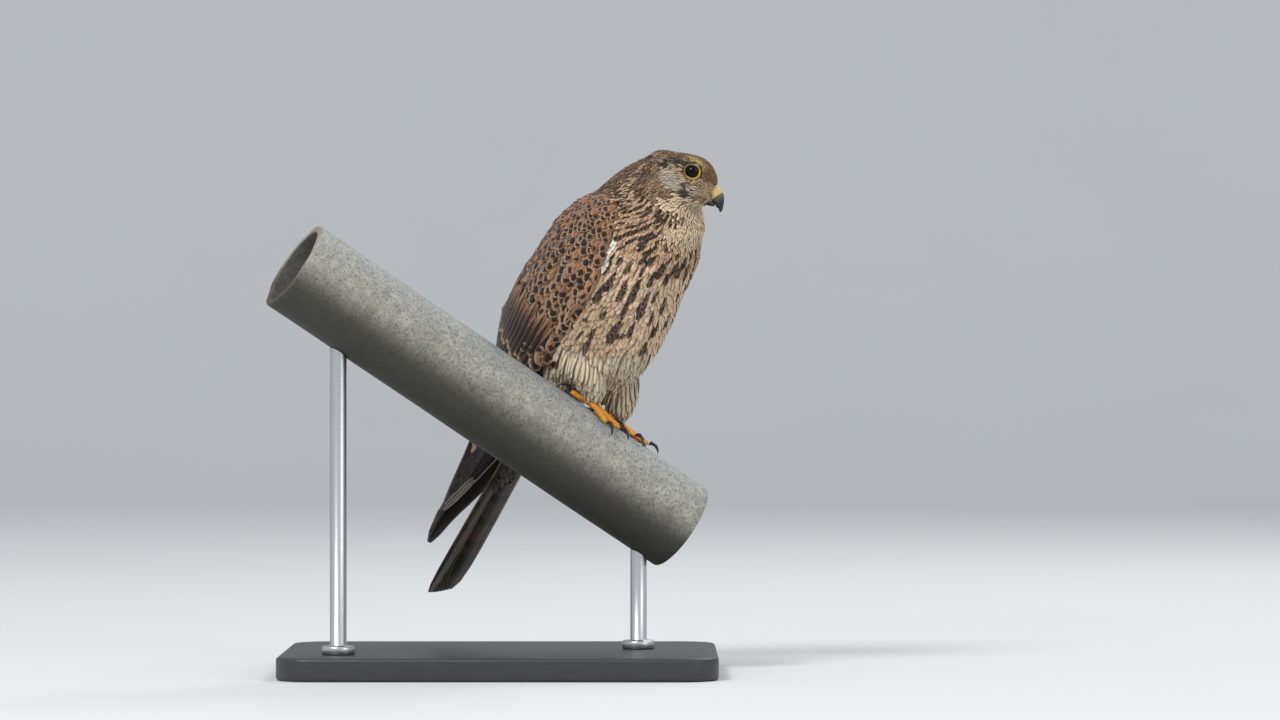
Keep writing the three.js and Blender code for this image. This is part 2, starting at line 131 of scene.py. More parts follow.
birdMatrix = (Matrix.Translation(feetMiddle + Vector(stance["bodyShift"]))
              @ Matrix.Rotation(-math.radians(stance["heading"]), 4, "Z"))
headMatrix = (Matrix.Translation(stance["headCentre"])
              @ Matrix.Rotation(math.radians(stance["headYaw"]), 4, "Z")
              @ Matrix.Rotation(math.radians(stance["headPitch"]), 4, "Y"))
tailCos = math.cos(math.radians(stance["tailSlope"]))
tailSin = math.sin(math.radians(stance["tailSlope"]))
birdArray, birdInverse, headArray, headInverse = (
    np.array([list(row) for row in m])
    for m in (birdMatrix, birdMatrix.inverted(), headMatrix, headMatrix.inverted()))


def moved(points, array):
    return np.asarray(points) @ array[:3, :3].T + array[:3, 3]


def birdToWorld(points):
    return moved(points, birdArray) * mm


def headToWorld(points):
    return birdToWorld(moved(points, headArray))


def worldToBird(points):
    return moved(np.asarray(points) / mm, birdInverse)


def birdToHead(points):
    return moved(points, headInverse)


# trunk coordinates: along the tail from its root, sideways, towards the back
def trunkToBird(along, sideways, back):
    along, sideways, back = np.broadcast_arrays(along, sideways, back)
    x = stance["tailRoot"][0] - tailCos * along - tailSin * back
    z = stance["tailRoot"][1] - tailSin * along + tailCos * back
    return np.stack([x, sideways, z], -1)


def birdToTrunk(points):
    x, z = points[..., 0] - stance["tailRoot"][0], points[..., 2] - stance["tailRoot"][1]
    return np.stack([-tailCos * x - tailSin * z, points[..., 1], -tailSin * x + tailCos * z], -1)


def smoothStep(low, high, value):
    t = np.clip((value - low) / (high - low), 0, 1)
    return t * t * (3 - 2 * t)


# the smooth curve through a table's rows, whose first number is the place
def tableAt(rows, place):
    rows = np.array(rows, float)
    place = np.atleast_1d(np.asarray(place, float))
    i = np.clip(np.searchsorted(rows[:, 0], place, side="right") - 1, 0, len(rows) - 2)
    a, b, c, d = rows[np.maximum(i - 1, 0)], rows[i], rows[i + 1], rows[np.minimum(i + 2, len(rows) - 1)]
    span = c[:, :1] - b[:, :1]
    t = np.clip((place[:, None] - b[:, :1]) / span, 0, 1)
    startSlope = (c - a) / (c[:, :1] - a[:, :1]) * span
    endSlope = (d - b) / (d[:, :1] - b[:, :1]) * span
    return ((2 * t**3 - 3 * t**2 + 1) * b + (t**3 - 2 * t**2 + t) * startSlope
            + (3 * t**2 - 2 * t**3) * c + (t**3 - t**2) * endSlope)


# Meshes

def linked(name, mesh):
    obj = bpy.data.objects.new(name, mesh)
    bpy.context.scene.collection.objects.link(obj)
    return obj


def wearMaterial(obj, material):
    obj.data.materials.clear()
    obj.data.materials.append(material)
    return obj


def meshObject(name, verts, faces, material):
    mesh = bpy.data.meshes.new(name)
    mesh.from_pydata([tuple(v) for v in verts], [], faces)
    mesh.validate()
    mesh.polygons.foreach_set("use_smooth", [True] * len(mesh.polygons))
    return wearMaterial(linked(name, mesh), material)


# quads between rings of as many points each, with a last row back to the first ring or a cap on each end
def ringFaces(rings, around, closed=False, caps=False):
    faces = []
    for i in range(rings if closed else rings - 1):
        low, high = i * around, (i + 1) % rings * around
        for k in range(around):
            n = (k + 1) % around
            faces.append((low + k, low + n, high + n, high + k))
    if caps:
        faces += [tuple(range(around))[::-1], tuple((rings - 1) * around + k for k in range(around))]
    return faces


def circle(count):
    return [2 * math.pi * k / count for k in range(count)]


def turnOutward(mesh):
    bm = bmesh.new()
    bm.from_mesh(mesh)
    bmesh.ops.recalc_face_normals(bm, faces=bm.faces)
    bm.to_mesh(mesh)
    bm.free()


def setVectors(mesh, name, values):
    attribute = mesh.attributes.new(name, "FLOAT_VECTOR", "POINT")
    attribute.data.foreach_set("vector", np.ascontiguousarray(values, np.float32).ravel())


def vectorsOf(verts, key):
    out = np.zeros(len(verts) * 3, np.float32)
    verts.foreach_get(key, out)
    return out.reshape(-1, 3).astype(float)


def addModifier(obj, kind, **settings):
    modifier = obj.modifiers.new(kind.title(), kind)
    for key, value in settings.items():
        setattr(modifier, key, value)


def applied(obj):
    bpy.context.view_layer.update()
    graph = bpy.context.evaluated_depsgraph_get()
    mesh = bpy.data.meshes.new_from_object(obj.evaluated_get(graph))
    obj.modifiers.clear()
    obj.data = mesh
    return obj


def remeshed(obj, voxel, smoothing):
    addModifier(obj, "REMESH", mode="VOXEL", voxel_size=voxel, use_smooth_shade=True)
    addModifier(obj, "SMOOTH", factor=0.5, iterations=smoothing)
    return applied(obj)


def treeOf(mesh):
    return BVHTree.FromPolygons([v.co[:] for v in mesh.vertices], [p.vertices[:] for p in mesh.polygons])


# copies CAD nodes into one welded mesh, grown by a hair so that their thin cuts close
def copyNodes(name, nodes, grow=0.0):
    bm = bmesh.new()
    for node in nodes:
        bm.from_mesh(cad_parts[node].data)
    bmesh.ops.remove_doubles(bm, verts=bm.verts, dist=1e-6)
    bm.normal_update()
    for vert in bm.verts:
        vert.co += vert.normal * grow
    mesh = bpy.data.meshes.new(name)
    bm.to_mesh(mesh)
    bm.free()
    return linked(name, mesh)


def finishPiece(obj, slot, *replaced):
    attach(obj, "root")
    if replaced:
        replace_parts(obj, *replaced)
    return obj


# Plumage: keratin vanes, grown in the follicle and matt, whose barbs part the light into fine slanting
# lines. Each vert carries where it is on its vane, the vane's size, its markings and its colours.
vaneLook = {
    "roughness": 0.72,
    "sheen": 0.18,
    "barbPitch": 0.55,  # mm; real barbs lie about 0.25 mm apart, drawn twice as coarse so that they show
    "barbSlant": 0.9,
    "mottleSize": 1.1,  # mm
    "wearSize": 4.17,  # mm, patches of fresher and more faded colour
    "raggedness": 0.34,
    # painted shade, the colour of the vanes' undersides
    "underside": 0x2B2622,
    "downSize": 1.19,  # mm
}


def plumage(name, spotPower, shaft, underside=0.5):
    def surface(add):
        place, size, drop, bars, stain = (
            add("SeparateXYZ", add("Attribute", attribute_name=n, out="Vector"), out=None)
            for n in ("vane", "span", "drop", "bars", "stain"))
        base, dark, edge = (
            add("Attribute", attribute_name=n, out="Color") for n in ("baseTint", "markTint", "rimTint"))
        where = add("TexCoord", out="Object")
        mottle, grain = (
            add("TexNoise", {"Vector": where, "Scale": noiseScale(vaneLook[size]), "Detail": detail},
                out="Fac") for size, detail in (("mottleSize", 2.0), ("wearSize", 3.0)))
        ragged = vaneLook["raggedness"]
        wobble = add("Math", mottle, ragged, -ragged / 2, **timesPlus)
        flat = add("Math", place[0], **distance)
        across = add("Math", add("Math", place[0], wobble, **plus), **distance)
        # a drop or diamond on the shaft, as wide as drop x, centred at drop y, drop z long each way
        off = add("Math", add("Math", place[1], drop[1], **minus), drop[2], **over)
        fall = add("Math", add("Math", off, **distance), spotPower, operation="POWER")
        width = add("Math", drop[0], add("Math", 1.0, fall, **minus), **times)
        spot = add("MapRange", add("Math", width, across, **minus), 0.0, 0.16, **eased)
        # crossbars, as many as bars x and as thick as bars y, bent to a chevron
        level = add("Math", place[1], bars[0], place[2], **timesPlus)
        phase = add("Math", level, add("Math", across, 0.18, **times), **plus)
        ridge = add("Math", add("Math", add("Math", phase, **fraction), 0.5, **minus), **distance)
        bar = add("MapRange", add("Math", bars[1], ridge, **minus), 0.0, 0.08, **eased)
        # a broad dark band just short of the tip, where bars z asks for it
        band = add("Math", add("MapRange", place[1], 0.80, 0.84, **eased),
                   add("MapRange", place[1], 0.955, 0.93, **eased), **times)
        band = add("Math", band, bars[2], **times)
        stained = add("MapRange", add("Math", wobble, 1.1, stain[0], **timesPlus), 0.36, 0.58, **eased)
        mark = functools.reduce(lambda a, b: add("Math", a, b, **larger), (spot, bar, band, stained))
        colour = add("Mix", {0: mark, 6: base, 7: dark}, **blend)
        # a pale edge on both sides and at the tip
        sideRim = add("MapRange", add("Math", wobble, 0.5, flat, **timesPlus), 0.66, 0.92, **eased)
        rim = add("Math", sideRim, add("MapRange", place[1], 0.90, 0.97, **eased), **larger)
        colour = add("Mix", {0: add("Math", rim, size[2], **times), 6: colour, 7: edge}, **blend)
        shaftLine = add("Math", add("MapRange", flat, 0.09, 0.02, **eased), shaft, **times)
        colour = add("Mix", {0: shaftLine, 6: colour, 7: dark}, **blend)
        # painted shade: the vane's underside is drawn darker and greyer than its face
        shadedUnderside = add("Math", add("MapRange", stain[1], 0.05, 0.3, **eased), underside, **times)
        colour = add("Mix", {0: shadedUnderside, 6: colour, 7: paint(vaneLook["underside"])}, **blend)
        # barbs slant away from the shaft
        barbLength = add("Math", place[1], size[0], **times)
        outward = add("Math", flat, size[1], **times)
        barbPhase = add("Math", outward, -vaneLook["barbSlant"], barbLength, **timesPlus)
        barbPhase = add("Math", add("Math", barbPhase, vaneLook["barbPitch"], **over), **fraction)
        barb = add("Math", add("Math", barbPhase, 0.5, **minus), **distance)
        # painted shade: lighter and darker stripes along the barbs, multiplied with the patches of fresher
        # and more faded colour
        barbShadeAndWear = add("Math", barb, 0.26, add("Math", grain, 0.5, 0.66, **timesPlus), **timesPlus)
        barbShadeAndWearColour = add("CombineColor", barbShadeAndWear, barbShadeAndWear, barbShadeAndWear)
        colour = add("Mix", {0: 1.0, 6: colour, 7: barbShadeAndWearColour}, blend_type="MULTIPLY", **blend)
        bump = add("Bump", {"Strength": 0.35, "Distance": 0.12 * mm, "Height": barb})
        return add("BsdfPrincipled", {
            "Base Color": colour, "Roughness": vaneLook["roughness"], "Normal": bump,
            "Specular IOR Level": 0.25, "Sheen Weight": vaneLook["sheen"], "Sheen Roughness": 0.5})
    return newMaterial(name, surface)


bodyVane = plumage("bodyVane", 2.2, 0.2)
mantleVane = plumage("mantleVane", 1.15, 0.5)
flightVane = plumage("flightVane", 1.6, 0.8)
# the tail's vanes take a stronger painted shade on their undersides
tailVane = plumage("tailVane", 1.6, 0.8, 0.8)


# Down and the vanes' hidden bases: dull, soft, and painted darker than the coat as shade, so that the gaps
# read as depth
def downSkin(add):
    where = add("TexCoord", out="Object")
    noise = add("TexNoise", {"Vector": where, "Scale": noiseScale(vaneLook["downSize"]), "Detail": 4.0},
                out="Fac")
    base, dark = (add("Attribute", attribute_name=n, out="Color") for n in ("baseTint", "markTint"))
    patch = add("MapRange", noise, 0.42, 0.62, 0.0, 0.75, **eased)
    colour = add("Mix", {0: patch, 6: base, 7: dark}, **blend)
    bump = add("Bump", {"Strength": 0.6, "Distance": 0.4 * mm, "Height": noise})
    return add("BsdfPrincipled", {"Base Color": colour, "Roughness": 0.9, "Normal": bump,
                                  "Specular IOR Level": 0.15, "Sheen Weight": 0.2})


downMaterial = newMaterial("downSkin", downSkin)


# The flesh: head, neck, trunk, thighs and the wings' arms, in one smooth surface

flesh = {
    "parts": ["head", "neck", "trunk", "thigh_right", "thigh_left"],
    "arms": ["wing_right", "wing_left"],
    "voxel": 1.25 * mm,
    "grow": 0.3 * mm,
    "smoothing": 9,
    "wingEnd": 42,  # how far along the trunk the arms' flesh reaches, in mm
}


def fleshSurface():
    arms = copyNodes("arms", flesh["arms"], flesh["grow"])
    bm = bmesh.new()
    bm.from_mesh(arms.data)
    stop, beyond = (Vector(birdToWorld(trunkToBird(flesh["wingEnd"] + step, 0, 20))) for step in (0, 1))
    bmesh.ops.bisect_plane(bm, geom=bm.verts[:] + bm.edges[:] + bm.faces[:], plane_co=stop,
                           plane_no=(beyond - stop).normalized(), clear_outer=True)
    bmesh.ops.holes_fill(bm, edges=[e for e in bm.edges if e.is_boundary])
    bm.to_mesh(arms.data)
    bm.free()
    body = copyNodes("fleshSurface", flesh["parts"], flesh["grow"])
    bm = bmesh.new()
    bm.from_mesh(body.data)
    bm.from_mesh(arms.data)
    bm.to_mesh(body.data)
    bm.free()
    bpy.data.objects.remove(arms)
    return remeshed(body, flesh["voxel"], flesh["smoothing"])


print("flesh")
surfaceObject = fleshSurface()
surfaceMesh = surfaceObject.data
fleshTree = treeOf(surfaceMesh)
wingTrees = [treeOf(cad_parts[arm].data) for arm in flesh["arms"]]


# Colours of the coat by place on the bird: a vane's own and its markings', except the vent's, which are
# painted dark as shade under the tail
coatColours = {
    "crown": (0x9A743C, 0x2A190B), "brow": (0xAE9552, 0x5E4E24), "eyeLine": (0x3E3219, 0x171008),
    "cheek": (0xB4A896, 0x6A5A4C), "ear": (0xAC8E6C, 0x3A2614), "moustache": (0x5E4B35, 0x24180F),
    "lores": (0xC0A87E, 0x4E3A20), "throat": (0xCFB99A, 0xA88C68), "nape": (0x8E6E4C, 0x2A180C),
    "neck": (0xBD9C78, 0x2A1A0E), "breast": (0xCFB291, 0x2E1C0E), "flank": (0xBCA080, 0x382514),
    "belly": (0xC6B59A, 0x826E50), "vent": (0x54453A, 0x2A211B), "mantle": (0x93694A, 0x25130A),
    "covert": (0x93694A, 0x25130A), "rump": (0x7C6248, 0x2A1B12), "white": (0xECE6DA, 0xD8CDB8),
}
fringe = 0xC2A27E  # the pale edges of the mantle and the coverts
coatTints = {name: [linear(c) for c in pair] for name, pair in coatColours.items()}

# Styles: spacing, length and half-width in mm, the drop's width, middle and half-length, the rim's
# strength, how deep the root lies in the coat, and how much of the streaks drawn over the body shows
coatStyles = {
    "crown": (0.95, 4.4, 0.70, 0.66, 0.78, 0.50, 0.15, 1.0, 0.0),
    "brow": (0.90, 3.8, 0.62, 0.14, 0.60, 0.40, 0.10, 0.9, 0.0),
    "eyeLine": (0.90, 3.8, 0.62, 0.60, 0.60, 0.60, 0.05, 0.9, 0.0),
    "cheek": (0.92, 4.2, 0.66, 0.30, 0.78, 0.36, 0.20, 0.9, 0.0),
    "ear": (1.05, 5.0, 0.78, 0.46, 0.76, 0.44, 0.25, 1.0, 0.5),
    "moustache": (0.90, 3.8, 0.62, 0.62, 0.55, 0.60, 0.05, 0.9, 0.0),
    "lores": (0.80, 2.6, 0.50, 0.42, 0.78, 0.36, 0.10, 0.6, 0.0),
    "throat": (1.22, 5.4, 0.94, 0.06, 0.60, 0.30, 0.20, 1.2, 0.0),
    "nape": (1.40, 6.4, 1.10, 0.62, 0.76, 0.44, 0.25, 1.4, 0.4),
    "neck": (1.55, 7.4, 1.26, 0.16, 0.62, 0.44, 0.25, 1.6, 1.0),
    "breast": (1.95, 10.5, 1.66, 0.07, 0.64, 0.50, 0.30, 2.0, 1.0),
    "flank": (2.15, 11.5, 1.86, 0.10, 0.64, 0.40, 0.30, 2.0, 1.0),
    "belly": (1.90, 11.5, 1.52, 0.06, 0.60, 0.40, 0.25, 2.0, 0.35),
    "vent": (2.60, 12.0, 2.20, 0.30, 0.60, 0.40, 0.25, 1.6, 0.0),
    "mantle": (4.30, 14.5, 4.10, 0.78, 0.72, 0.26, 0.85, 2.0, 0.0),
    "covert": (4.10, 14.0, 3.90, 0.80, 0.74, 0.24, 0.85, 1.6, 0.0),
    "rump": (3.20, 12.0, 3.00, 0.70, 0.72, 0.20, 0.40, 1.8, 0.0),
    "white": (1.40, 8.0, 1.30, 0.02, 0.60, 0.30, 0.10, 1.0, 0.0),
}
backStyles = ["mantle", "covert"]

coat = {
    "candidates": 200000,  # roots tried
    "cell": 5.6,  # mm, of the grid that finds a root's neighbours; at least the widest spacing
    "marked": 0.88,  # the share of feathers with a full drop
    "thickness": 0.07,  # mm
    "curve": 0.1,  # how far the edges sag, of the half-width
}
# Each coat piece's styles and slot
coatGroups = {
    "coatCrown": (["crown"], "plumage_head"),
    "coatFace": (["cheek", "ear", "moustache", "lores", "eyeLine", "brow"], "plumage_head"),
    "coatNeck": (["throat", "nape", "neck"], "plumage_head"),
    "coatBreast": (["breast", "white"], "plumage_under"),
    "coatFlank": (["flank"], "plumage_under"),
    "coatBelly": (["belly", "vent"], "plumage_under"),
    "coatBack": (["mantle", "rump"], "plumage_upper"),
    "coatWing": (["covert"], "plumage_upper"),
}


# the row that a table has for each feather's style
def rowsOf(table, styles):
    names, which = np.unique(styles, return_inverse=True)
    return np.array([table[n] for n in names])[which]


# whether points of the head lie in an ellipse on its side
def within(head, middle, reach, lean):
    dx, dz = head[:, 0] - middle[0], head[:, 2] - middle[1]
    c, s = math.cos(math.radians(lean)), math.sin(math.radians(lean))
    return ((dx * c + dz * s) / reach[0]) ** 2 + ((dz * c - dx * s) / reach[1]) ** 2 < 1


# which style each point of the surface wears, with rough edges; places in mm on the bird, its head and trunk
def styleAt(world):
    bird = worldToBird(world)
    head = birdToHead(bird)
    trunk = birdToTrunk(bird)
    rough = dice.normal(0, 1.0, bird.shape)
    loose = head + rough * 0.9
    forward, side, up = head[:, 0] + rough[:, 0], np.abs(head[:, 1]), head[:, 2] + rough[:, 1]
    along, back = trunk[:, 0] + 2.5 * rough[:, 2], trunk[:, 2] + 1.5 * rough[:, 0]
    out = np.full(len(bird), "breast", "U12")
    out[(along > -82) & (np.abs(trunk[:, 1]) > 22) & (back < 8)] = "flank"
    out[(along > -44) & (back < 4) & (bird[:, 2] < 60)] = "belly"
    out[bird[:, 2] < 46] = "belly"
    # the vent under the tail root, whose colours are painted dark as shade
    out[(along > -12) & (back < 4) & (bird[:, 0] < -22)] = "vent"
    out[(back > 12) & (along < 12)] = "mantle"
    out[(back > 2) & (along >= 6)] = "rump"
    neckward = along < -112
    out[neckward] = "neck"
    out[neckward & (back > 14)] = "nape"
    out[neckward & (back < -24) & (along < -128)] = "throat"
    onHead = (forward > -20) & (head[:, 2] > -17 - 0.3 * np.minimum(head[:, 0], 0))
    onHead &= np.linalg.norm(head * [0.8, 1, 1], axis=1) < 24
    out[onHead] = "ear"
    out[onHead & (forward < -14)] = "nape"
    out[onHead & (loose[:, 0] > 5) & (up < -7)] = "throat"
    out[onHead & (up < -11.5) & (forward > -4)] = "throat"
    flat = onHead & (side > 5)
    out[flat & within(loose, (-1.6, 0.6), (9.4, 5.2), -38)] = "cheek"
    out[flat & within(loose, (12.6, -3.0), (3.2, 4.4), 0)] = "cheek"
    out[flat & within(loose, (8.6, -3.4), (2.3, 6.8), 10)] = "moustache"
    out[onHead & (forward > 14.5) & (up > -4)] = "lores"
    out[onHead & (up > 12.4) & (forward < 15)] = "crown"
    out[onHead & (up > 5.0 + 0.5 * (side > 5)) & (forward > 14)] = "crown"
    out[flat & within(loose, (-0.4, 10.6), (6.8, 2.0), 6)] = "eyeLine"
    out[flat & within(loose, (-7.4, 8.4), (4.6, 1.9), 30)] = "eyeLine"
    out[flat & within(loose, (7.8, 14.0), (6.0, 1.3), -12)] = "brow"
    return out


# dark drops in staggered columns down the breast, as the streaks of a young bird run
streaks = {
    "column": 7.3,
    "row": 14.0,
    "halfWidth": 1.95,
    "halfLength": 7.6,
    "radius": 40,  # mm, of the breast's curve
    "missing": 0.03,
}
streakDice = np.random.default_rng(21).random((64, 64, 5))


# how dark the streaks make each point: 0 is bare, 1 is dark
def stainAt(world):
    bird = worldToBird(world)
    trunk = birdToTrunk(bird)
    arc = np.arctan2(trunk[:, 1], -(trunk[:, 2] - 4)) * streaks["radius"]
    narrow = 0.55 + 0.45 * smoothStep(-140, -100, trunk[:, 0])
    column, row = streaks["column"] * narrow, streaks["row"] * (0.6 + 0.4 * narrow)
    low = smoothStep(60, 44, bird[:, 2])
    best = np.zeros(len(bird))
    for nextColumn, nextRow in itertools.product((-1, 0, 1), repeat=2):
        c = np.floor(arc / column).astype(int) + nextColumn
        r = np.floor(trunk[:, 0] / row + 0.5 * (c % 2)).astype(int) + nextRow
        luck = streakDice[c % 64, r % 64]
        middleArc = (c + 0.5 + 0.5 * (luck[:, 0] - 0.5)) * column
        middle = (r + 0.5 + 0.5 * (luck[:, 1] - 0.5)) * row - 0.5 * (c % 2) * row
        size = (0.65 + 0.7 * luck[:, 2]) * (0.55 + 0.45 * narrow)
        t = (trunk[:, 0] - middle) / (streaks["halfLength"] * size)
        bend = 1.2 * (luck[:, 4] - 0.5) * t
        wide = streaks["halfWidth"] * size * (0.75 + 0.45 * t) * np.sqrt(np.clip(1 - t * t, 0, 1))
        inside = smoothStep(0.5, -0.4, np.abs(arc - middleArc - bend) - wide) * (np.abs(t) < 1)
        best = np.maximum(best, inside * (luck[:, 3] < 1 - streaks["missing"] - 0.6 * low))
    return best


# each point's distance from the wings' solids, in mm
def wingGap(points):
    nearest = [[tree.find_nearest(p, 5 * mm)[3] for tree in wingTrees] for p in points]
    return np.array([min(5 * mm if d is None else d for d in pair) for pair in nearest]) / mm


wingReach = 1.1  # mm from the wings' solids, where the coverts start
billBase = np.array([21.0, 0.0, 1.0])


# the lie of the coat: away from the bill on the head, then down the trunk, round the eyes, down the thighs
def lieAt(bird):
    head = birdToHead(bird)
    away = head - billBase
    distant = np.linalg.norm(away, axis=1, keepdims=True)
    away = away / np.maximum(distant, 1e-6)
    fromEye = (head - np.array(stance["eyePlace"])) * [1, 0, 1]
    eyeDistance = np.linalg.norm(fromEye, axis=1, keepdims=True)
    push = np.clip(1.6 - eyeDistance / 6.5, 0, 1) * (np.abs(head[:, 1:2]) > 8)
    away = (away + fromEye / np.maximum(eyeDistance, 1e-6) * push * 1.4) @ headArray[:3, :3].T
    down = np.array([-tailCos, 0, -tailSin])
    share = smoothStep(20, 46, distant)
    flow = away * (1 - share) + down * share
    low = smoothStep(52, 34, bird[:, 2:3]) * smoothStep(-34, -20, bird[:, 0:1])
    return flow * (1 - low) + np.array([-0.15, 0, -1]) * low


# small coverts at the wing's wrist, larger ones towards the tail
def covertGrowth(styles, along):
    growth = 0.62 + 0.38 * smoothStep(-132, -80, along) + 0.25 * smoothStep(-60, -15, along)
    return np.where(np.isin(styles, backStyles), growth, 1.0)


# scatters roots on the surface, each at its own spacing from its neighbours
def scatterRoots():
    candidates = coat["candidates"]
    verts = vectorsOf(surfaceMesh.vertices, "co")
    surfaceMesh.calc_loop_triangles()
    corners = np.zeros(len(surfaceMesh.loop_triangles) * 3, np.int32)
    surfaceMesh.loop_triangles.foreach_get("vertices", corners)
    a, b, c = (verts[corners.reshape(-1, 3)[:, k]] for k in range(3))
    area = np.linalg.norm(np.cross(b - a, c - a), axis=1)
    found = dice.choice(len(area), candidates, p=area / area.sum())
    s, t = np.sqrt(dice.random(candidates)), dice.random(candidates)
    points = a[found] * (1 - s)[:, None] + b[found] * (s * (1 - t))[:, None] + c[found] * (s * t)[:, None]
    bird = worldToBird(points)
    head, trunk = birdToHead(bird), birdToTrunk(bird)
    styles = styleAt(points)
    gap = wingGap(points)
    wing = gap < wingReach
    styles[wing] = "covert"
    # a lick of white down shows where the wing's shoulder parts from the breast
    styles[~wing & (gap < 3.4) & (np.abs(trunk[:, 0] + 106) < 9) & (trunk[:, 2] < 0)] = "white"
    spacing = rowsOf(coatStyles, styles)[:, 0] * covertGrowth(styles, trunk[:, 0])
    # the eyes, the bill's base and the flight feathers' ground stay bare
    eyeX, _, eyeZ = stance["eyePlace"]
    eyeGap = np.hypot(head[:, 0] - eyeX, head[:, 2] - eyeZ)
    keep = ~((eyeGap < np.where(head[:, 2] > eyeZ + 1, 4.7, 5.2)) & (np.abs(head[:, 1]) > 7))
    keep &= ~((head[:, 0] > 19.5) & (np.hypot(head[:, 1], head[:, 2] + 2.5) < 6.4))
    keep &= ~(wing & (trunk[:, 0] > -26))
    cells, chosen = {}, []
    steps = list(itertools.product((-1, 0, 1), repeat=3))
    for i in np.flatnonzero(keep):
        x, y, z = (int(v) for v in bird[i] // coat["cell"])
        near = [j for dx, dy, dz in steps for j in cells.get((x + dx, y + dy, z + dz), ())]
        gaps = np.sum((bird[near] - bird[i]) ** 2, axis=1)
        if not np.any(gaps < (spacing[i] * 0.5 + spacing[near] * 0.5) ** 2):
            cells.setdefault((x, y, z), []).append(i)
            chosen.append(i)
    return points[chosen], styles[chosen]


# where a body feather's six rings of points are along it, and how wide it is there
placeAlong = np.array([0.0, 0.22, 0.48, 0.74, 0.92, 1.0])
widthAlong = np.array([0.34, 0.80, 1.0, 0.96, 0.66, 0.14])


# walks each feather over the surface along the lie, then lifts it from the skin to the coat's outside
def layPaths(roots, lengths, depth, lift, sway):
    path = np.zeros((len(roots), len(placeAlong), 3))
    normals, ways = np.zeros_like(path), np.zeros_like(path)
    at = roots.copy()
    for k, place in enumerate(placeAlong):
        nearest = [fleshTree.find_nearest(p)[:2] for p in at]
        hits, facing = (np.array([n[part] for n in nearest], float) for part in (0, 1))
        flow = lieAt(worldToBird(hits)) @ birdArray[:3, :3].T
        flow -= facing * np.sum(flow * facing, axis=1, keepdims=True)
        flow /= np.maximum(np.linalg.norm(flow, axis=1, keepdims=True), 1e-9)
        flow = flow * np.cos(sway)[:, None] + np.cross(facing, flow) * np.sin(sway)[:, None]
        path[:, k], normals[:, k], ways[:, k] = hits, facing, flow
        if k + 1 < len(placeAlong):
            at = hits + flow * (lengths * (placeAlong[k + 1] - place))[:, None]
    normals = normals * 0.4 + normals.mean(1, keepdims=True) * 0.6
    normals /= np.linalg.norm(normals, axis=2, keepdims=True)
    rise = -depth[:, None] * (1 - placeAlong) ** 1.6 + lift[:, None] * placeAlong**2
    # the loose feathers of the belly and the thighs leave the surface and hang
    low = smoothStep(60, 44, worldToBird(roots)[:, 2]) * 0.75
    hang = ways[:, :1] * 0.75 + np.array([0, 0, -0.25])
    hang = hang * (lengths[:, None] * placeAlong)[:, :, None] + roots[:, None]
    path = path + (hang - path) * low[:, None, None]
    return clearOfPipe(path + normals * rise[:, :, None]), normals, ways


# feathers that hang against the pipe lie on it instead of entering it
def clearOfPipe(path):
    off = path / mm - np.array(pipe["crossing"])
    axis = np.array(pipeAxis)
    radial = off - axis * (off @ axis)[..., None]
    radius = np.linalg.norm(radial, axis=2, keepdims=True)
    return path + radial / radius * np.maximum(pipe["radius"] + 1.0 - radius, 0) * mm


# one joined mesh of closed, leaf-shaped vanes, in rings of left edge, ridge, right edge and underside
def vaneMesh(name, vanes, places, thick, curve, material):
    path, normals, ways = vanes["path"], vanes["normals"], vanes["ways"]
    count, steps = path.shape[:2]
    grid = (count, steps, 4)
    sides = np.cross(ways, normals)
    sides /= np.maximum(np.linalg.norm(sides, axis=2, keepdims=True), 1e-9)
    wide = vanes["half"][..., None]
    body = np.minimum(thick, wide * 0.5)
    sag = normals * wide * curve
    ring = [path - sides * wide - sag, path + normals * body, path + sides * wide - sag,
            path - normals * body - sag * 0.4]
    verts = np.stack(ring, 2).reshape(-1, 3)
    quads = np.array(ringFaces(steps, 4, caps=True))
    faces = (quads[None] + (np.arange(count) * steps * 4)[:, None, None]).reshape(-1, 4)
    mesh = bpy.data.meshes.new(name)
    mesh.vertices.add(len(verts))
    mesh.vertices.foreach_set("co", verts.astype(np.float32).ravel())
    mesh.loops.add(faces.size)
    mesh.loops.foreach_set("vertex_index", faces.astype(np.int32).ravel())
    mesh.polygons.add(len(faces))
    mesh.polygons.foreach_set("loop_start", np.arange(0, faces.size, 4, dtype=np.int32))
    mesh.polygons.foreach_set("use_smooth", np.ones(len(faces), bool))
    mesh.update(calc_edges=True)
    # the fourth point of each ring lies on the vane's underside and is marked for painted shade
    across, shadedUnderside = (np.broadcast_to(np.array(row, float), grid) for row in ((-1, 0, 1, 0), (0, 0, 0, 1)))
    down = np.broadcast_to(places[None, :, None], grid)
    tone = np.broadcast_to(vanes["tone"][:, None, None], grid)
    stain = vanes["stain"][:, None, None] * stainAt(verts).reshape(grid)
    # the stain attribute holds the streaks first, then twice the mark for the underside's painted shade
    setVectors(mesh, "stain", np.stack([stain, shadedUnderside, shadedUnderside], -1))
    setVectors(mesh, "vane", np.stack([across, down, tone], -1))
    for key in ("span", "drop", "bars", "baseTint", "markTint", "rimTint"):
        setVectors(mesh, key, np.broadcast_to(vanes[key][:, None, None, :], (*grid, 3)))
    # every vane bakes to a patch of its own, at its root's place on an unwrap of the skin
    layer = mesh.uv_layers.new(name="OFBake")
    patch = 0.003
    spotX, spotY = vanes["spot"][:, None, None, 0], vanes["spot"][:, None, None, 1]
    vertUv = np.stack([spotX + across * patch / 2, spotY + (down - 0.5) * patch], -1).reshape(-1, 2)
    layer.data.foreach_set("uv", np.clip(vertUv[faces.ravel()], 0, 1).astype(np.float32).ravel())
    mesh.materials.append(material)
    return linked(name, mesh)


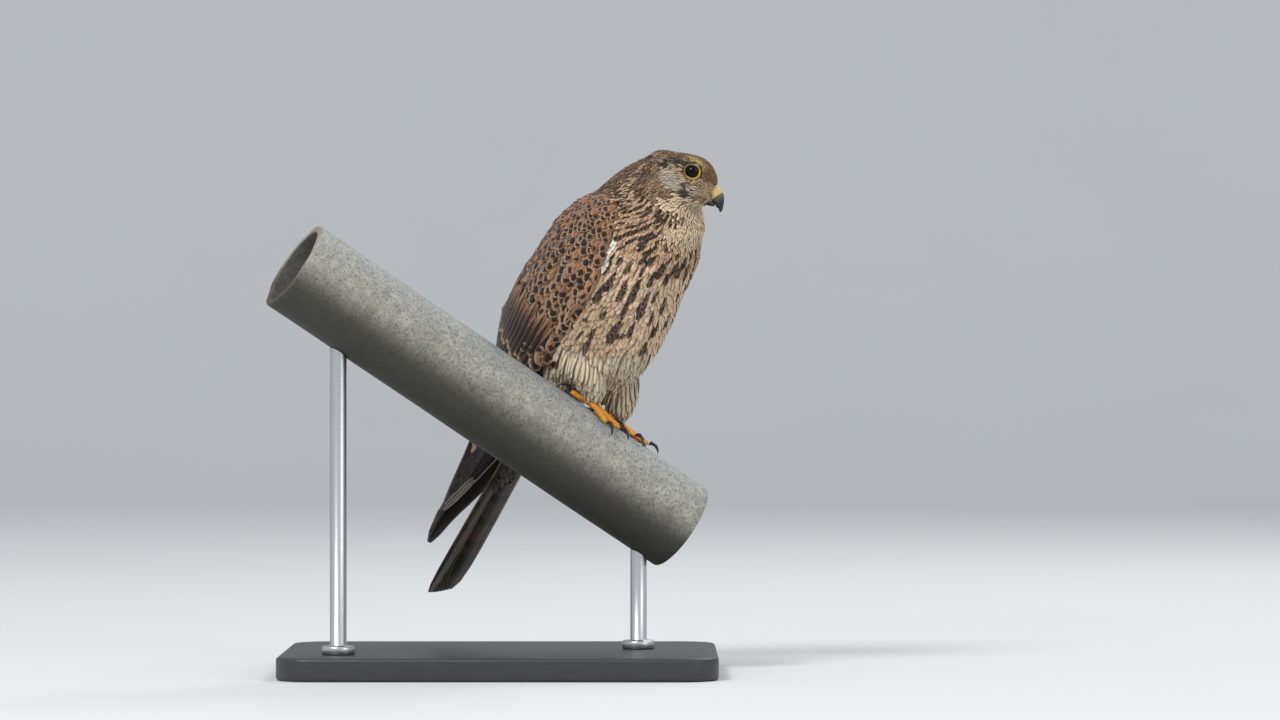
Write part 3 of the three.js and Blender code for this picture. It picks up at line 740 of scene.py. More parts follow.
# an unwrap round the trunk's axis, as a skin laid flat: the angle across, the way down the body up
def skinUnwrap(world):
    trunk = birdToTrunk(worldToBird(world))
    angle = np.arctan2(trunk[:, 1], trunk[:, 2] + 2) / (2 * math.pi) + 0.5
    down = (trunk[:, 0] + 190) / 290
    return np.stack([0.02 + 0.96 * angle, 0.02 + 0.96 * np.clip(down, 0, 1)], -1)


# how much of its full size the coat has: smallest at the bill's base
def coatSize(world, start, end):
    head = birdToHead(worldToBird(world))
    return smoothStep(start, end, np.linalg.norm(head - billBase, axis=1))


def coatLooks(styles, world):
    count = len(styles)
    table = rowsOf(coatStyles, styles)
    tints = rowsOf(coatTints, styles)
    vary = 1 + dice.normal(0, 0.07, (count, 1))
    base = tints[:, 0] * vary
    marked = dice.random(count) < coat["marked"]
    width = table[:, 3] * np.where(marked, dice.normal(1, 0.2, count), 0.25)
    drop = np.stack([width, table[:, 4] + dice.normal(0, 0.03, count), table[:, 5]], -1)
    # the middle of the back is painted darker as shade, and the back's feathers have tan edges, which the
    # painted shade darkens too
    trunk = birdToTrunk(worldToBird(world))
    backward = np.isin(styles, backStyles)
    backShade = (smoothStep(16, 6, np.abs(trunk[:, 1])) * smoothStep(24, 36, trunk[:, 2]) * backward)[:, None]
    base = base * (1 - 0.45 * backShade)
    rim = np.where(backward[:, None], np.array(linear(fringe)) * (1 - 0.4 * backShade), base * 1.15 + 0.03)
    return table, {
        "tone": dice.random(count), "span": table[:, [1, 2, 6]], "drop": drop,
        "bars": np.tile([0.0, -1.0, 0.0], (count, 1)), "baseTint": base, "markTint": tints[:, 1],
        "rimTint": np.clip(rim * vary, 0, 1), "stain": table[:, 8]}


def growCoat():
    roots, styles = scatterRoots()
    count = len(roots)
    print("coat feathers", count)
    table, vanes = coatLooks(styles, roots)
    bird = worldToBird(roots)
    trunk = birdToTrunk(bird)
    small = coatSize(roots, 9, 24)
    growth = covertGrowth(styles, trunk[:, 0]) * (0.6 + 0.4 * small)
    trousers = 1 + 0.4 * smoothStep(60, 40, bird[:, 2]) * (styles == "belly")
    lengths = table[:, 1] * growth * trousers * dice.normal(1, 0.08, count) * mm
    half = table[:, 2] * growth * dice.normal(1, 0.06, count) * mm
    depth = table[:, 7] * (0.4 + 0.6 * small) * mm
    lift = (0.15 + 0.4 * dice.random(count)) * mm * (0.25 + 0.75 * small)
    lift = lift * np.where(lengths > 6 * mm, 1.6, 0.9)
    path, normals, ways = layPaths(roots, lengths, depth, lift, dice.normal(0, 0.09, count))
    vanes.update(path=path, normals=normals, ways=ways, half=half[:, None] * widthAlong,
                 spot=skinUnwrap(roots))
    near = trunk[:, 1] < 0
    for group, (members, slot) in coatGroups.items():
        material = mantleVane if slot == "plumage_upper" else bodyVane
        for label, side in (("Right", near), ("Left", ~near)):
            chosen = np.isin(styles, members) & side
            few = {key: values[chosen] for key, values in vanes.items()}
            piece = vaneMesh(group + label, few, placeAlong, coat["thickness"] * mm, coat["curve"], material)
            finishPiece(piece, slot)


# The skin: the flesh drawn in by the coat's depth, wearing the coat's colours darkened as painted shade

def makeSkin():
    mesh = surfaceMesh.copy()
    verts = vectorsOf(mesh.vertices, "co")
    normals = vectorsOf(mesh.vertices, "normal")
    depth = (0.45 + 1.35 * coatSize(verts, 8, 30)) * mm
    # thin parts keep most of their thickness
    farthest = 0.02
    for i, (spot, normal) in enumerate(zip(verts, normals)):
        hit = fleshTree.ray_cast(Vector(spot - normal * 0.2 * mm), -Vector(normal), farthest)
        depth[i] = min(depth[i], 0.3 * (farthest if hit[0] is None else hit[3]))
    mesh.vertices.foreach_set("co", (verts - normals * depth[:, None]).astype(np.float32).ravel())
    mesh.update()
    styles = styleAt(verts)
    styles[wingGap(verts) < wingReach] = "covert"
    tints = rowsOf(coatTints, styles)
    stain = rowsOf(coatStyles, styles)[:, 8] * stainAt(verts)
    # painted shade: the coat's colours at 0.6 of their strength, so that the gaps between the feathers look
    # shaded
    setVectors(mesh, "baseTint", (tints[:, 0] + (tints[:, 1] - tints[:, 0]) * stain[:, None]) * 0.6)
    setVectors(mesh, "markTint", tints[:, 1])
    skin = wearMaterial(linked("skin", mesh), downMaterial)
    finishPiece(skin, "plumage_under", *flesh["parts"], *flesh["arms"])


print("coat")
growCoat()
print("skin")
makeSkin()
bpy.data.objects.remove(surfaceObject)


# Wings: the chart of each folded wing's outside, then its long feathers

# along, then sideways and back of the front edge and of the rear edge, bulge and thickness
wingStations = [
    (-129, 31, 4, 24, 17, 2, 2.5), (-122, 35.5, -2, 20, 30, 8, 5), (-101, 39.5, -8, 14, 45, 12, 7),
    (-81, 41, -12, 8, 52, 15, 8), (-49, 38, -9, 5, 55.5, 15, 8), (-12, 30, -1, 3.4, 54, 11, 7),
    (6, 25.5, 2.5, 3.2, 47.5, 8.5, 6), (35, 20.5, 7, 3, 38.5, 6, 4.5), (65, 17.5, 8.5, 2.6, 31, 4.6, 3.4),
    (97, 14.5, 12, 2.4, 27, 3.4, 2.4), (122, 11, 16.5, 3.2, 23.5, 1.6, 1.6),
    (138, 8.2, 19, 6.4, 20.6, 0.4, 1),
]
longPlace = np.array([0, 0.1, 0.2, 0.3, 0.4, 0.5, 0.6, 0.7, 0.8, 0.89, 0.96, 1.0])
longShape = {
    "pointed": np.array([0.6, 0.85, 0.95, 1.0, 1.0, 1.0, 0.98, 0.95, 0.88, 0.74, 0.5, 0.18]),
    "broad": np.array([0.5, 0.78, 0.93, 1.0, 1.0, 1.0, 1.0, 0.98, 0.95, 0.86, 0.66, 0.26]),
}
# Each row's shape, its colour, its markings' colour, its edge's colour and strength, its bars as number,
# thickness and tip band, its drop as width, middle and half-length, its slot and its material
longLooks = {
    "primaries": ("pointed", 0x2E2622, 0x13100E, 0x7A7066, 0.45, (0, -1, 0), (0, 0.5, 0.5),
                  "flight_feathers", tailVane),
    "secondaries": ("broad", 0x4E3828, 0x1A100B, 0xB49A7A, 0.95, (6, 0.1, 0), (0.3, 0.5, 0.6),
                    "plumage_upper", flightVane),
    "tertials": ("broad", 0x5C402C, 0x1C100A, 0xD6C6AC, 0.95, (5, 0.12, 0), (0.3, 0.5, 0.6),
                 "plumage_upper", flightVane),
    "coverts": ("broad", 0x7E5A3E, 0x20120B, 0xB8997A, 0.9, (0, -1, 0), (0.62, 0.6, 0.72),
                "plumage_upper", flightVane),
    "paleEdge": ("broad", 0xD2CAB4, 0x6B6456, 0xE8E2D2, 0.6, (0, -1, 0), (0.25, 0.8, 0.4),
                 "flight_feathers", flightVane),
    "tail": ("broad", 0x7A5A3E, 0x1A120E, 0xA08E76, 0.6, (9, 0.2, 1), (0, 0.5, 0.5),
             "flight_feathers", tailVane),
}
wingFeathers = {
    "primaryEnds": (134, 141, 140, 134, 125, 115, 105, 95, 86, 78),
    "primaryHalf": 7.6,
    "secondaries": 11,
    "tertials": 5,
    "greaterCoverts": 16,
    # each row's first and last place, how much the last recedes, and its height
    "covertRows": ((-26, 16, 16, 0.3), (-44, -4, 8, 0.75)),
    "crossing": (7.0, 3.5),  # how far the tips draw in to cross over the tail, and rise
    "thickness": 0.11,  # mm
    "curve": 0.06,
}


# the point of a folded wing's outside that is this far along; reach goes from its front edge, 0, to 1
def wingPoint(side, along, reach, lift):
    row = tableAt(wingStations, along)
    front, rear = row[:, 1:3], row[:, 3:5]
    chord = rear - front
    length = np.linalg.norm(chord, axis=1, keepdims=True)
    chord = chord / length
    out = np.stack([chord[:, 1], -chord[:, 0]], -1)
    rise = 4 * row[:, 5] * reach * (1 - reach) + row[:, 6] * 0.12 + lift
    spot = front + chord * (reach[:, None] * length) + out * rise[:, None]
    return trunkToBird(along, side * spot[:, 0], spot[:, 1])


# rows of feathers that run on a chart: each has its start, end, half-width and height over the chart
def longFeathers(name, rows, chart, look, limit=None):
    shape, base, dark, edge, edgeStrength, bars, drop, slot, material = longLooks[look]
    count = len(rows)
    path = np.zeros((count, len(longPlace), 3))
    sides, rises = np.zeros_like(path), np.zeros_like(path)
    level, nudge = np.ones(len(longPlace)), 0.02
    for i, (start, end, _, lift) in enumerate(rows):
        probes = ((0, lift), (0, lift + 1.0), (nudge, lift), (-nudge, lift))
        along = start[0] + (end[0] - start[0]) * longPlace
        reach = start[1] + (end[1] - start[1]) * longPlace**1.3
        path[i], above, right, left = (
            birdToWorld(chart(along, reach + shift, level * height)) for shift, height in probes)
        rises[i], sides[i] = above - path[i], right - left
    ways = np.gradient(path, axis=1)
    ways /= np.linalg.norm(ways, axis=2, keepdims=True)
    sides -= ways * np.sum(sides * ways, axis=2, keepdims=True)
    sides /= np.linalg.norm(sides, axis=2, keepdims=True)
    normals = np.cross(sides, ways)
    normals *= np.sign(np.sum(normals * rises, axis=(1, 2)))[:, None, None]
    halves = np.array([r[2] for r in rows])
    lengths = np.linalg.norm(np.diff(path, axis=1), axis=2).sum(1) / mm
    half = halves[:, None] * longShape[shape] * mm
    if limit:
        room = [limit(start[0] + (end[0] - start[0]) * longPlace) for start, end, _, _ in rows]
        half = np.minimum(half, np.array(room) * mm)
    vary = 1 + dice.normal(0, 0.05, (count, 1))
    vanes = {
        "path": path, "normals": normals, "ways": ways, "half": half, "tone": dice.random(count),
        "span": np.stack([lengths, halves, np.full(count, edgeStrength)], -1),
        "drop": np.tile(np.array(drop, float), (count, 1)),
        "bars": np.tile(np.array(bars, float), (count, 1)),
        "baseTint": linear(base) * vary, "markTint": np.tile(linear(dark), (count, 1)),
        "rimTint": np.tile(linear(edge), (count, 1)), "stain": np.zeros(count),
        "spot": np.array([[0.1 + 0.8 * (i + 0.5) / count, 0.5] for i in range(count)]),
    }
    piece = vaneMesh(name, vanes, longPlace, wingFeathers["thickness"] * mm, wingFeathers["curve"], material)
    return finishPiece(piece, slot)


def makeWing(side, label, over):
    # the tips of the two wings come together over the tail, one above the other
    def chart(along, reach, lift):
        place = birdToTrunk(wingPoint(side, along, reach, lift))
        draw = smoothStep(60, 135, along)
        inward, rise = wingFeathers["crossing"]
        return trunkToBird(place[:, 0], place[:, 1] - side * inward * draw,
                           place[:, 2] + (rise + over) * draw)

    def room(along):
        row = tableAt(wingStations, along)
        width = np.hypot(row[:, 3] - row[:, 1], row[:, 4] - row[:, 2])
        return (0.62 + 0.5 * smoothStep(60, 130, along)) * width

    primaries = [((-34, 0.12 + 0.07 * i), (end, 0.44 + 0.035 * i), wingFeathers["primaryHalf"] - 0.12 * i,
                  -1.6 + 0.15 * i) for i, end in enumerate(wingFeathers["primaryEnds"])]
    secondaries = [((-40, 0.16 + 0.072 * i), (68 - 4.2 * i, 0.32 + 0.06 * i), 4.6, -0.3 + 0.12 * i)
                   for i in range(wingFeathers["secondaries"])]
    tertials = [((-52, 0.76 + 0.05 * i), (34 - 11 * i, 0.84 + 0.03 * i), 6.4, 0.5 + 0.2 * i)
                for i in range(wingFeathers["tertials"])]
    longFeathers("primaries" + label, primaries, chart, "primaries", room)
    longFeathers("secondaries" + label, secondaries, chart, "secondaries", room)
    longFeathers("tertials" + label, tertials, chart, "tertials")
    count = wingFeathers["greaterCoverts"]
    for row, (first, last, recede, lift) in enumerate(wingFeathers["covertRows"]):
        coverts = [((first + 4 * math.sin(2.4 * i + row), 0.04 + 0.93 * i / count),
                    (last - recede * i / count + 2.4 * math.sin(1.9 * i), 0.06 + 0.93 * i / count), 4.0,
                    lift + 0.035 * i) for i in range(count)]
        longFeathers(f"greaterCoverts{row}{label}", coverts, chart, "coverts", room)


# the pale inner edge of the near wing, where it parts from the tail
def makePaleEdge():
    def chart(along, reach, lift):
        return trunkToBird(along, reach, 7 + (along - 64) * 0.17 + lift)

    rows = [((50, -2.0), (98, -8.5), 0.7, 0.0), ((84, -8.0), (111, -14.0), 3.2, 0.4),
            ((82, -11.0), (106, -17.0), 2.8, 0.8)]
    longFeathers("paleEdge", rows, chart, "paleEdge")


print("wings")
makeWing(-1, "Right", 1.0)
makeWing(1, "Left", -1.2)
makePaleEdge()


# Tail: twelve feathers closed like a fan, the middle pair on top

tail = {"feathers": 12, "length": 165, "half": 8.8, "spread": 9.6, "grade": 5}


def makeTail():
    def chart(along, reach, lift):
        return trunkToBird(along, reach, lift - 0.012 * reach**2)

    # each feather's place in the fan, from -1 to 1
    fan = np.linspace(-1, 1, tail["feathers"])
    rows = [((2, f * 4), (tail["length"] - tail["grade"] * abs(f) ** 1.5, f * tail["spread"]),
             tail["half"], 1.3 - 2.6 * abs(f)) for f in fan]
    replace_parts(longFeathers("tailFeathers", rows, chart, "tail"), "tail")


print("tail")
makeTail()


# Eyes: a wet dark-brown ball, black at the pupil, in a ring of bare yellow lid

eyes = {
    "rings": 22,
    "around": 36,
    "sunk": 0.25,  # mm
    "corneaRise": 0.045,  # of the ball's radius
    "corneaReach": 0.5,
    # each point's distance from the eye's axis and its height
    "lidSection": [(3.95, 2.9), (4.0, 3.75), (4.4, 4.15), (4.9, 3.95), (5.35, 3.2), (5.2, 2.2), (4.4, 2.2)],
    "lidBrightest": 0.75,  # radians below straight ahead, where the lid's painted light is brightest
}


def eyeBall(add):
    ring = add("SeparateXYZ", add("Attribute", attribute_name="ring", out="Vector"))
    pupil = add("MapRange", ring, 0.36, 0.42, **eased)
    colour = add("Mix", {0: pupil, 6: paint(0x020202), 7: paint(0x120905)}, **blend)
    return add("BsdfPrincipled", {"Base Color": colour, "Roughness": 0.05, "IOR": 1.33,
                                  "Specular IOR Level": 0.28})


# Bare skin of cere, lids and toes: waxy, plated with small scutes that catch the light at their edges
def waxySkin(name, light, deep, plate, shaded=None):
    def surface(add):
        where = add("TexCoord", out="Object")
        cells = add("TexVoronoi", {"Vector": where, "Scale": 1000 / plate}, feature="DISTANCE_TO_EDGE",
                    out="Distance")
        edge = add("MapRange", cells, 0.0, 0.16)
        noise = add("TexNoise", {"Vector": where, "Scale": noiseScale(1.92), "Detail": 3.0}, out="Fac")
        factor = add("MapRange", add("Math", edge, noise, **times), 0.1, 0.6)
        colour = add("Mix", {0: factor, 6: paint(deep), 7: paint(light)}, **blend)
        # painted light and shade: the skin keeps its colours where 'bright' is high and turns to the shaded
        # colour elsewhere
        if shaded:
            bright = add("SeparateXYZ", add("Attribute", attribute_name="bright", out="Vector"))
            lit = add("MapRange", bright, 0.35, 0.95, **eased)
            colour = add("Mix", {0: lit, 6: paint(shaded), 7: colour}, **blend)
        bump = add("Bump", {"Strength": 0.75, "Distance": 0.25 * mm, "Height": edge})
        return add("BsdfPrincipled", {
            "Base Color": colour, "Roughness": 0.42, "Normal": bump, "Subsurface Weight": 0.08,
            "Subsurface Radius": (2 * mm, 1 * mm, 0.5 * mm)})
    return newMaterial(name, surface)


eyeMaterial = newMaterial("wetEyeBall", eyeBall)
cereSkin = waxySkin("cereSkin", 0xE6D08E, 0xC9A04C, 0.5)
lidSkin = waxySkin("lidSkin", 0xF0CE1E, 0x9C861A, 0.45, 0x6E6624)
toeSkin = waxySkin("toeSkin", 0xF2A416, 0xA4600E, 0.8)


def makeEyes():
    f, s, u = stance["eyePlace"]
    radius, sunk, section = stance["eyeRadius"], eyes["sunk"], eyes["lidSection"]
    for side, label in ((-1, "right"), (1, "left")):
        verts, ring = [], []
        for a in np.linspace(0, math.pi, eyes["rings"] + 1):
            # the clear cornea bulges a little from the ball
            r = radius * (1 + eyes["corneaRise"] * math.exp(-(a / eyes["corneaReach"]) ** 2))
            for b in circle(eyes["around"]):
                verts.append((f + r * math.sin(a) * math.cos(b), side * (s + r * math.cos(a) - sunk),
                              u + r * math.sin(a) * math.sin(b)))
                ring.append((math.sin(a) if a < math.pi / 2 else 1, 0, 0))
        faces = ringFaces(eyes["rings"] + 1, eyes["around"])
        eye = meshObject("eye" + label.title(), headToWorld(verts), faces, eyeMaterial)
        setVectors(eye.data, "ring", ring)
        finishPiece(eye, "eye", "eye_" + label)
        # the lids: a soft rim, drawn down over the top of the ball by the brow
        verts, bright = [], []
        lidSteps = circle(eyes["around"] * 2)
        for b in lidSteps:
            # painted light: the lid is brightest below the front and darkest olive at the top and back, as
            # shade under the brow
            bright += [(0.5 + 0.5 * math.cos(b + eyes["lidBrightest"]), 0, 0)] * len(section)
            squeeze = 1 - 0.13 * max(math.sin(b), 0) ** 2 - 0.03 * max(-math.sin(b), 0) ** 2
            for r, h in section:
                lean = 0.06 * r * math.sin(b)
                verts.append((f + r * math.cos(b) * 1.02, side * (s + h - sunk - lean),
                              u + r * math.sin(b) * squeeze))
        faces = ringFaces(len(lidSteps), len(section), closed=True)
        lid = meshObject("lids" + label.title(), headToWorld(verts), faces, lidSkin)
        setVectors(lid.data, "bright", bright)
        addModifier(lid, "SUBSURF", levels=1, render_levels=1)
        finishPiece(applied(lid), "bare_skin")


print("eyes")
makeEyes()


# Bill and claws: keratin, slate grey at the root and black at the tip, polished by use

def horn(name, light, deep):
    def surface(add):
        where = add("TexCoord", out="Object")
        noise = add("TexNoise", {"Vector": where, "Scale": noiseScale(1.0), "Detail": 4.0}, out="Fac")
        tip = add("SeparateXYZ", add("Attribute", attribute_name="tip", out="Vector"))
        factor = add("Math", noise, 0.25, tip, **timesPlus)
        ramp = add("MapRange", factor, 0.1, 0.62, **eased)
        colour = add("Mix", {0: ramp, 6: paint(light), 7: paint(deep)}, **blend)
        bump = add("Bump", {"Strength": 0.12, "Distance": 0.1 * mm, "Height": noise})
        return add("BsdfPrincipled", {"Base Color": colour, "Roughness": 0.28, "Normal": bump, "IOR": 1.54})
    return newMaterial(name, surface)


billHorn = horn("billHorn", 0x4C5148, 0x0B0C0E)
clawHorn = horn("clawHorn", 0x1A1B1E, 0x08090B)

bill = {
    # forward, height of the middle, half-width, half-depth
    "upper": [
        (17.6, 0.9, 4.9, 4.7), (20.8, 0.9, 4.7, 4.8), (23.4, 0.1, 4.3, 4.6), (25.5, -1.3, 3.6, 4.1),
        (27.1, -3.0, 2.7, 3.2), (28.5, -4.9, 1.7, 2.2), (29.6, -6.7, 0.9, 1.3), (30.0, -8.6, 0.35, 0.45)],
    "lower": [
        (14.4, -4.2, 4.1, 2.9), (17.8, -4.9, 4.0, 2.7), (20.8, -5.3, 3.4, 2.4), (23.2, -5.6, 2.6, 1.9),
        (25.4, -5.8, 1.3, 1.1)],
    "cereEnd": 0.36,  # of the upper bill's length
    "tooth": (0.28, 0.74, 0.05),  # how deep, where and how long
    "nostril": (21.8, 4.62, 2.5),
}


# a stretch of the bill as rings of points, and where each ring is on the whole
def billLoft(stations, steps, around, start, end, tooth=0.0):
    table = [(p, *s) for p, s in zip(np.linspace(0, 1, len(stations)), stations)]
    t = start + (end - start) * np.linspace(0, 1, steps + 1)
    row = tableAt(table, t)
    ahead = tableAt(table, np.minimum(t + 0.01, 1)) - tableAt(table, np.maximum(t - 0.01, 0))
    length = np.hypot(ahead[:, 1], ahead[:, 2])
    upX, upZ = -ahead[:, 2] / length, ahead[:, 1] / length
    verts = []
    for k in range(steps + 1):
        notch = tooth * math.exp(-((t[k] - bill["tooth"][1]) / bill["tooth"][2]) ** 2)
        for a in circle(around):
            wide, deep = row[k, 3] * math.cos(a), row[k, 4] * math.sin(a)
            # the cutting edge pinches in below, with a small tooth near the tip
            if math.sin(a) < 0:
                deep *= 1 + notch - 0.12 * (1 - abs(math.sin(a)))
                wide *= 1 - 0.1 * abs(math.sin(a))
            verts.append((row[k, 1] + upX[k] * deep, wide, row[k, 2] + upZ[k] * deep))
    return np.array(verts), ringFaces(steps + 1, around, caps=True), t


def makeBill():
    split, (x, y, z) = bill["cereEnd"], bill["nostril"]
    verts, faces, t = billLoft(bill["upper"], 26, 32, split, 1.0, bill["tooth"][0])
    upper = meshObject("billUpper", headToWorld(verts), faces, billHorn)
    setVectors(upper.data, "tip", [((p - split) / (1 - split), 0, 0) for p in t for _ in range(32)])
    finishPiece(upper, "horn", "bill_upper")
    verts, faces, t = billLoft(bill["lower"], 16, 28, 0.0, 1.0)
    lower = meshObject("billLower", headToWorld(verts), faces, billHorn)
    setVectors(lower.data, "tip", [(p, 0, 0) for p in t for _ in range(28)])
    finishPiece(lower, "horn", "bill_lower")
    verts, faces, _ = billLoft(bill["upper"], 14, 32, 0.0, split + 0.01)
    # waxy swelling round each nostril
    for side in (-1, 1):
        gap = np.linalg.norm(verts - np.array([21.6, side * 4.2, 2.6]), axis=1)
        verts[:, 1] += side * 0.45 * np.exp(-(gap / 1.9) ** 2) * (np.sign(verts[:, 1]) == side)
    cere = meshObject("cereWaxy", headToWorld(verts * [1, 1.03, 1.0]), faces, cereSkin)
    finishPiece(cere, "bare_skin", "cere")
    for side, label in ((-1, "Right"), (1, "Left")):
        centre = np.array([x, side * y, z])
        rim = []
        for a, b in itertools.product(circle(20), circle(8)):
            r = 0.62 + 0.22 * math.cos(b)
            out = side * (0.16 * math.sin(b) - 0.12 * math.cos(a))
            rim.append(centre + [r * math.cos(a), out, r * math.sin(a)])
        ring = meshObject("nostrilRim" + label, headToWorld(rim), ringFaces(20, 8, closed=True), cereSkin)
        finishPiece(ring, "bare_skin")
        # painted shade: a short black plug in the claws' horn fills each nostril's hole
        pit = [centre + [0.5 * math.cos(a), side * depth, 0.5 * math.sin(a)]
               for depth in (0.1, -0.5) for a in circle(16)]
        faces = ringFaces(2, 16) + [tuple(range(16)), tuple(range(31, 15, -1))]
        nostril = meshObject("nostril" + label, headToWorld(pit), faces, clawHorn)
        setVectors(nostril.data, "tip", np.ones((32, 3)))
        finishPiece(nostril, "horn")


print("bill")
makeBill()


# Feet: the solids' toes with their facets melted away, in scutes, and claws drawn smooth

feet = {"toeVoxel": 0.42 * mm, "toeSmoothing": 8, "clawVoxel": 0.2 * mm, "clawSmoothing": 6}


def makeFeet():
    for side in ("right", "left"):
        foot = copyNodes("foot" + side.title(), ["foot_" + side])
        remeshed(foot, feet["toeVoxel"], feet["toeSmoothing"])
        finishPiece(wearMaterial(foot, toeSkin), "bare_skin", "foot_" + side)
        for toe in ("inner", "middle", "outer", "hind"):
            node = f"claw_{side}_{toe}"
            claw = copyNodes(f"claw{side.title()}{toe.title()}", [node])
            remeshed(claw, feet["clawVoxel"], feet["clawSmoothing"])
            setVectors(claw.data, "tip", np.ones((len(claw.data.vertices), 3)))
            finishPiece(wearMaterial(claw, clawHorn), "horn", node)


print("feet")
makeFeet()


# Perch: a galvanised steel pipe, hot dipped and long outdoors. The zinc has gone to a matt grey bloom,
# blotched with lichen, and rust creeps in from the cut edge and the chips.

weather = {
    "bloomSize": 2.6,  # mm
    "blotchSize": 14.0,
    "pitSize": 0.8,
    "zincLow": 0x928F84,
    "zincHigh": 0x919799,
    "bloom": 0xA5A499,
    "pits": 0x66665D,
    "lichen": 0x6E6553,
    # painted shade for the pipe's underside and its bore
    "paintedUnderShade": 0x33312A,
    "rust": 0x7C5B38,
    "dent": 0.12,  # mm
}


def galvanised(add):
    where = add("TexCoord", out="Object")
    bloom, blotch, pit = (
        add("TexNoise", {"Vector": where, "Scale": noiseScale(weather[size]), "Detail": detail,
                         "Roughness": rough}, out="Fac")
        for size, detail, rough in (
            ("bloomSize", 4.0, 0.6), ("blotchSize", 4.0, 0.6), ("pitSize", 6.0, 0.7)))
    place = add("SeparateXYZ", add("Attribute", attribute_name="place", out="Vector"), out=None)
    # zinc is bluish on top and browner lower down, and the underside and the bore are painted dark as shade
    rustEdge = add("Math", place[2], add("Math", bloom, 0.9, -0.5, **timesPlus), **plus)
    layers = (
        (place[1], 0.2, 0.95, 1.0, "zincHigh"), (bloom, 0.38, 0.66, 1.0, "bloom"),
        (pit, 0.47, 0.66, 1.0, "pits"), (blotch, 0.54, 0.70, 0.35, "lichen"),
        (place[1], 0.28, -0.55, 0.92, "paintedUnderShade"), (rustEdge, 0.6, 0.95, 0.6, "rust"))
    colour = paint(weather["zincLow"])
    for value, low, high, strength, layer in layers:
        amount = add("Math", add("MapRange", value, low, high, **eased), strength, **times)
        colour = add("Mix", {0: amount, 6: colour, 7: paint(weather[layer])}, **blend)
    height = add("Math", pit, bloom, **plus)
    bump = add("Bump", {"Strength": 0.5, "Distance": 0.4 * mm, "Height": height})
    return add("BsdfPrincipled", {"Base Color": colour, "Roughness": 0.74, "Metallic": 0.25,
                                  "Normal": bump})


def makePipe():
    around, steps, length = 120, 90, pipe["length"]
    outer, inner = pipe["radius"], pipe["radius"] - pipe["wall"]
    start = Vector(pipe["crossing"]) - pipeAxis * pipe["highEnd"]
    # the pipe's cut: the outside, the low end, the bore and the high end, each end's edges broken
    profile = [(s, outer) for s in np.linspace(1.0, length - 1.0, steps)]
    profile += [(length - 0.3, outer - 0.3), (length, outer - 1.0), (length, inner + 0.8),
                (length - 0.5, inner + 0.1)]
    profile += [(s, inner) for s in np.linspace(length - 1.5, 1.5, 24)]
    profile += [(0.5, inner + 0.1), (0, inner + 0.8), (0, outer - 1.0), (0.3, outer - 0.3)]
    verts, place = [], []
    for s, r in profile:
        for a in circle(around):
            # worn and dented by a fraction of a millimetre, never outwards, and chipped at the high end
            outside = r > inner + 0.5
            dent = math.sin(3 * a + s * 0.05) * math.sin(s * 0.031 + 2 * a) - 1
            dent *= weather["dent"] * outside
            chip = 0.5 * max(0, math.sin(5 * a + 1) * math.sin(2 * a)) * (outside and s < 1.1)
            across = pipeUp * math.cos(a) + pipeNear * math.sin(a)
            verts.append((start + pipeAxis * (s + chip) + across * (r + dent - chip * 0.5)) * mm)
            rust = 0.75 * math.exp(-s / 7)
            rust += 0.9 * math.exp(-((s - 20) / 16) ** 2) * max(math.cos(a - 0.1), 0) ** 6
            # the bore takes a fixed -0.3 as its second number, so that the painted shade darkens it too
            place.append((s / length, math.cos(a) if r > inner + 0.2 else -0.3, rust))
    faces = ringFaces(len(profile), around, closed=True)
    obj = meshObject("perchPipe", verts, faces, newMaterial("galvanisedSteel", galvanised))
    setVectors(obj.data, "place", place)
    turnOutward(obj.data)
    finishPiece(obj, "perch_steel", *["perch_pipe_" + q for q in ("top", "near", "bottom", "far")])


print("pipe")
makePipe()


# Stand: a board in satin paint, brushed on, and two rods of brushed steel with collars

stand = {
    "corner": 22,
    "bevel": 2.2,
    "collar": 10,
    "collarHeight": 5,
    "rod": 5,
    "brushStroke": (8.33, 0.556, 0.556),  # mm, drawn coarse so that it shows
    "toolLine": (2.5, 2.5, 0.0833),  # mm, the rods' fine rings
}


# satin paint: dark, even, with faint strokes that soften its highlight
def satinPaint(add):
    where = add("TexCoord", out="Object")
    strokes = add("Mapping", {"Vector": where, "Scale": [noiseScale(s) for s in stand["brushStroke"]]})
    grain = add("TexNoise", {"Vector": strokes, "Scale": 1.0, "Detail": 3.0}, out="Fac")
    colour = add("Mix", {0: grain, 6: paint(0x232426), 7: paint(0x35373A)}, **blend)
    bump = add("Bump", {"Strength": 0.15, "Distance": 0.2 * mm, "Height": grain})
    return add("BsdfPrincipled", {"Base Color": colour, "Roughness": 0.45, "Normal": bump})


# brushed steel: bright metal whose turned lines stretch the highlights
def brushedSteel(add):
    where = add("TexCoord", out="Object")
    turned = add("Mapping", {"Vector": where, "Scale": [noiseScale(s) for s in stand["toolLine"]]})
    lines = add("TexNoise", {"Vector": turned, "Scale": 1.0, "Detail": 2.0}, out="Fac")
    rough = add("MapRange", {"Value": lines, "To Min": 0.24, "To Max": 0.42})
    bump = add("Bump", {"Strength": 0.1, "Distance": 0.1 * mm, "Height": lines})
    return add("BsdfPrincipled", {"Base Color": paint(0xB9BBBD), "Metallic": 1.0, "Roughness": rough,
                                  "Normal": bump})


def ringSolid(name, rings, material):
    verts = [v for ring in rings for v in ring]
    obj = meshObject(name, verts, ringFaces(len(rings), len(rings[0]), caps=True), material)
    turnOutward(obj.data)
    obj.data.set_sharp_from_angle(angle=math.radians(50))
    return obj


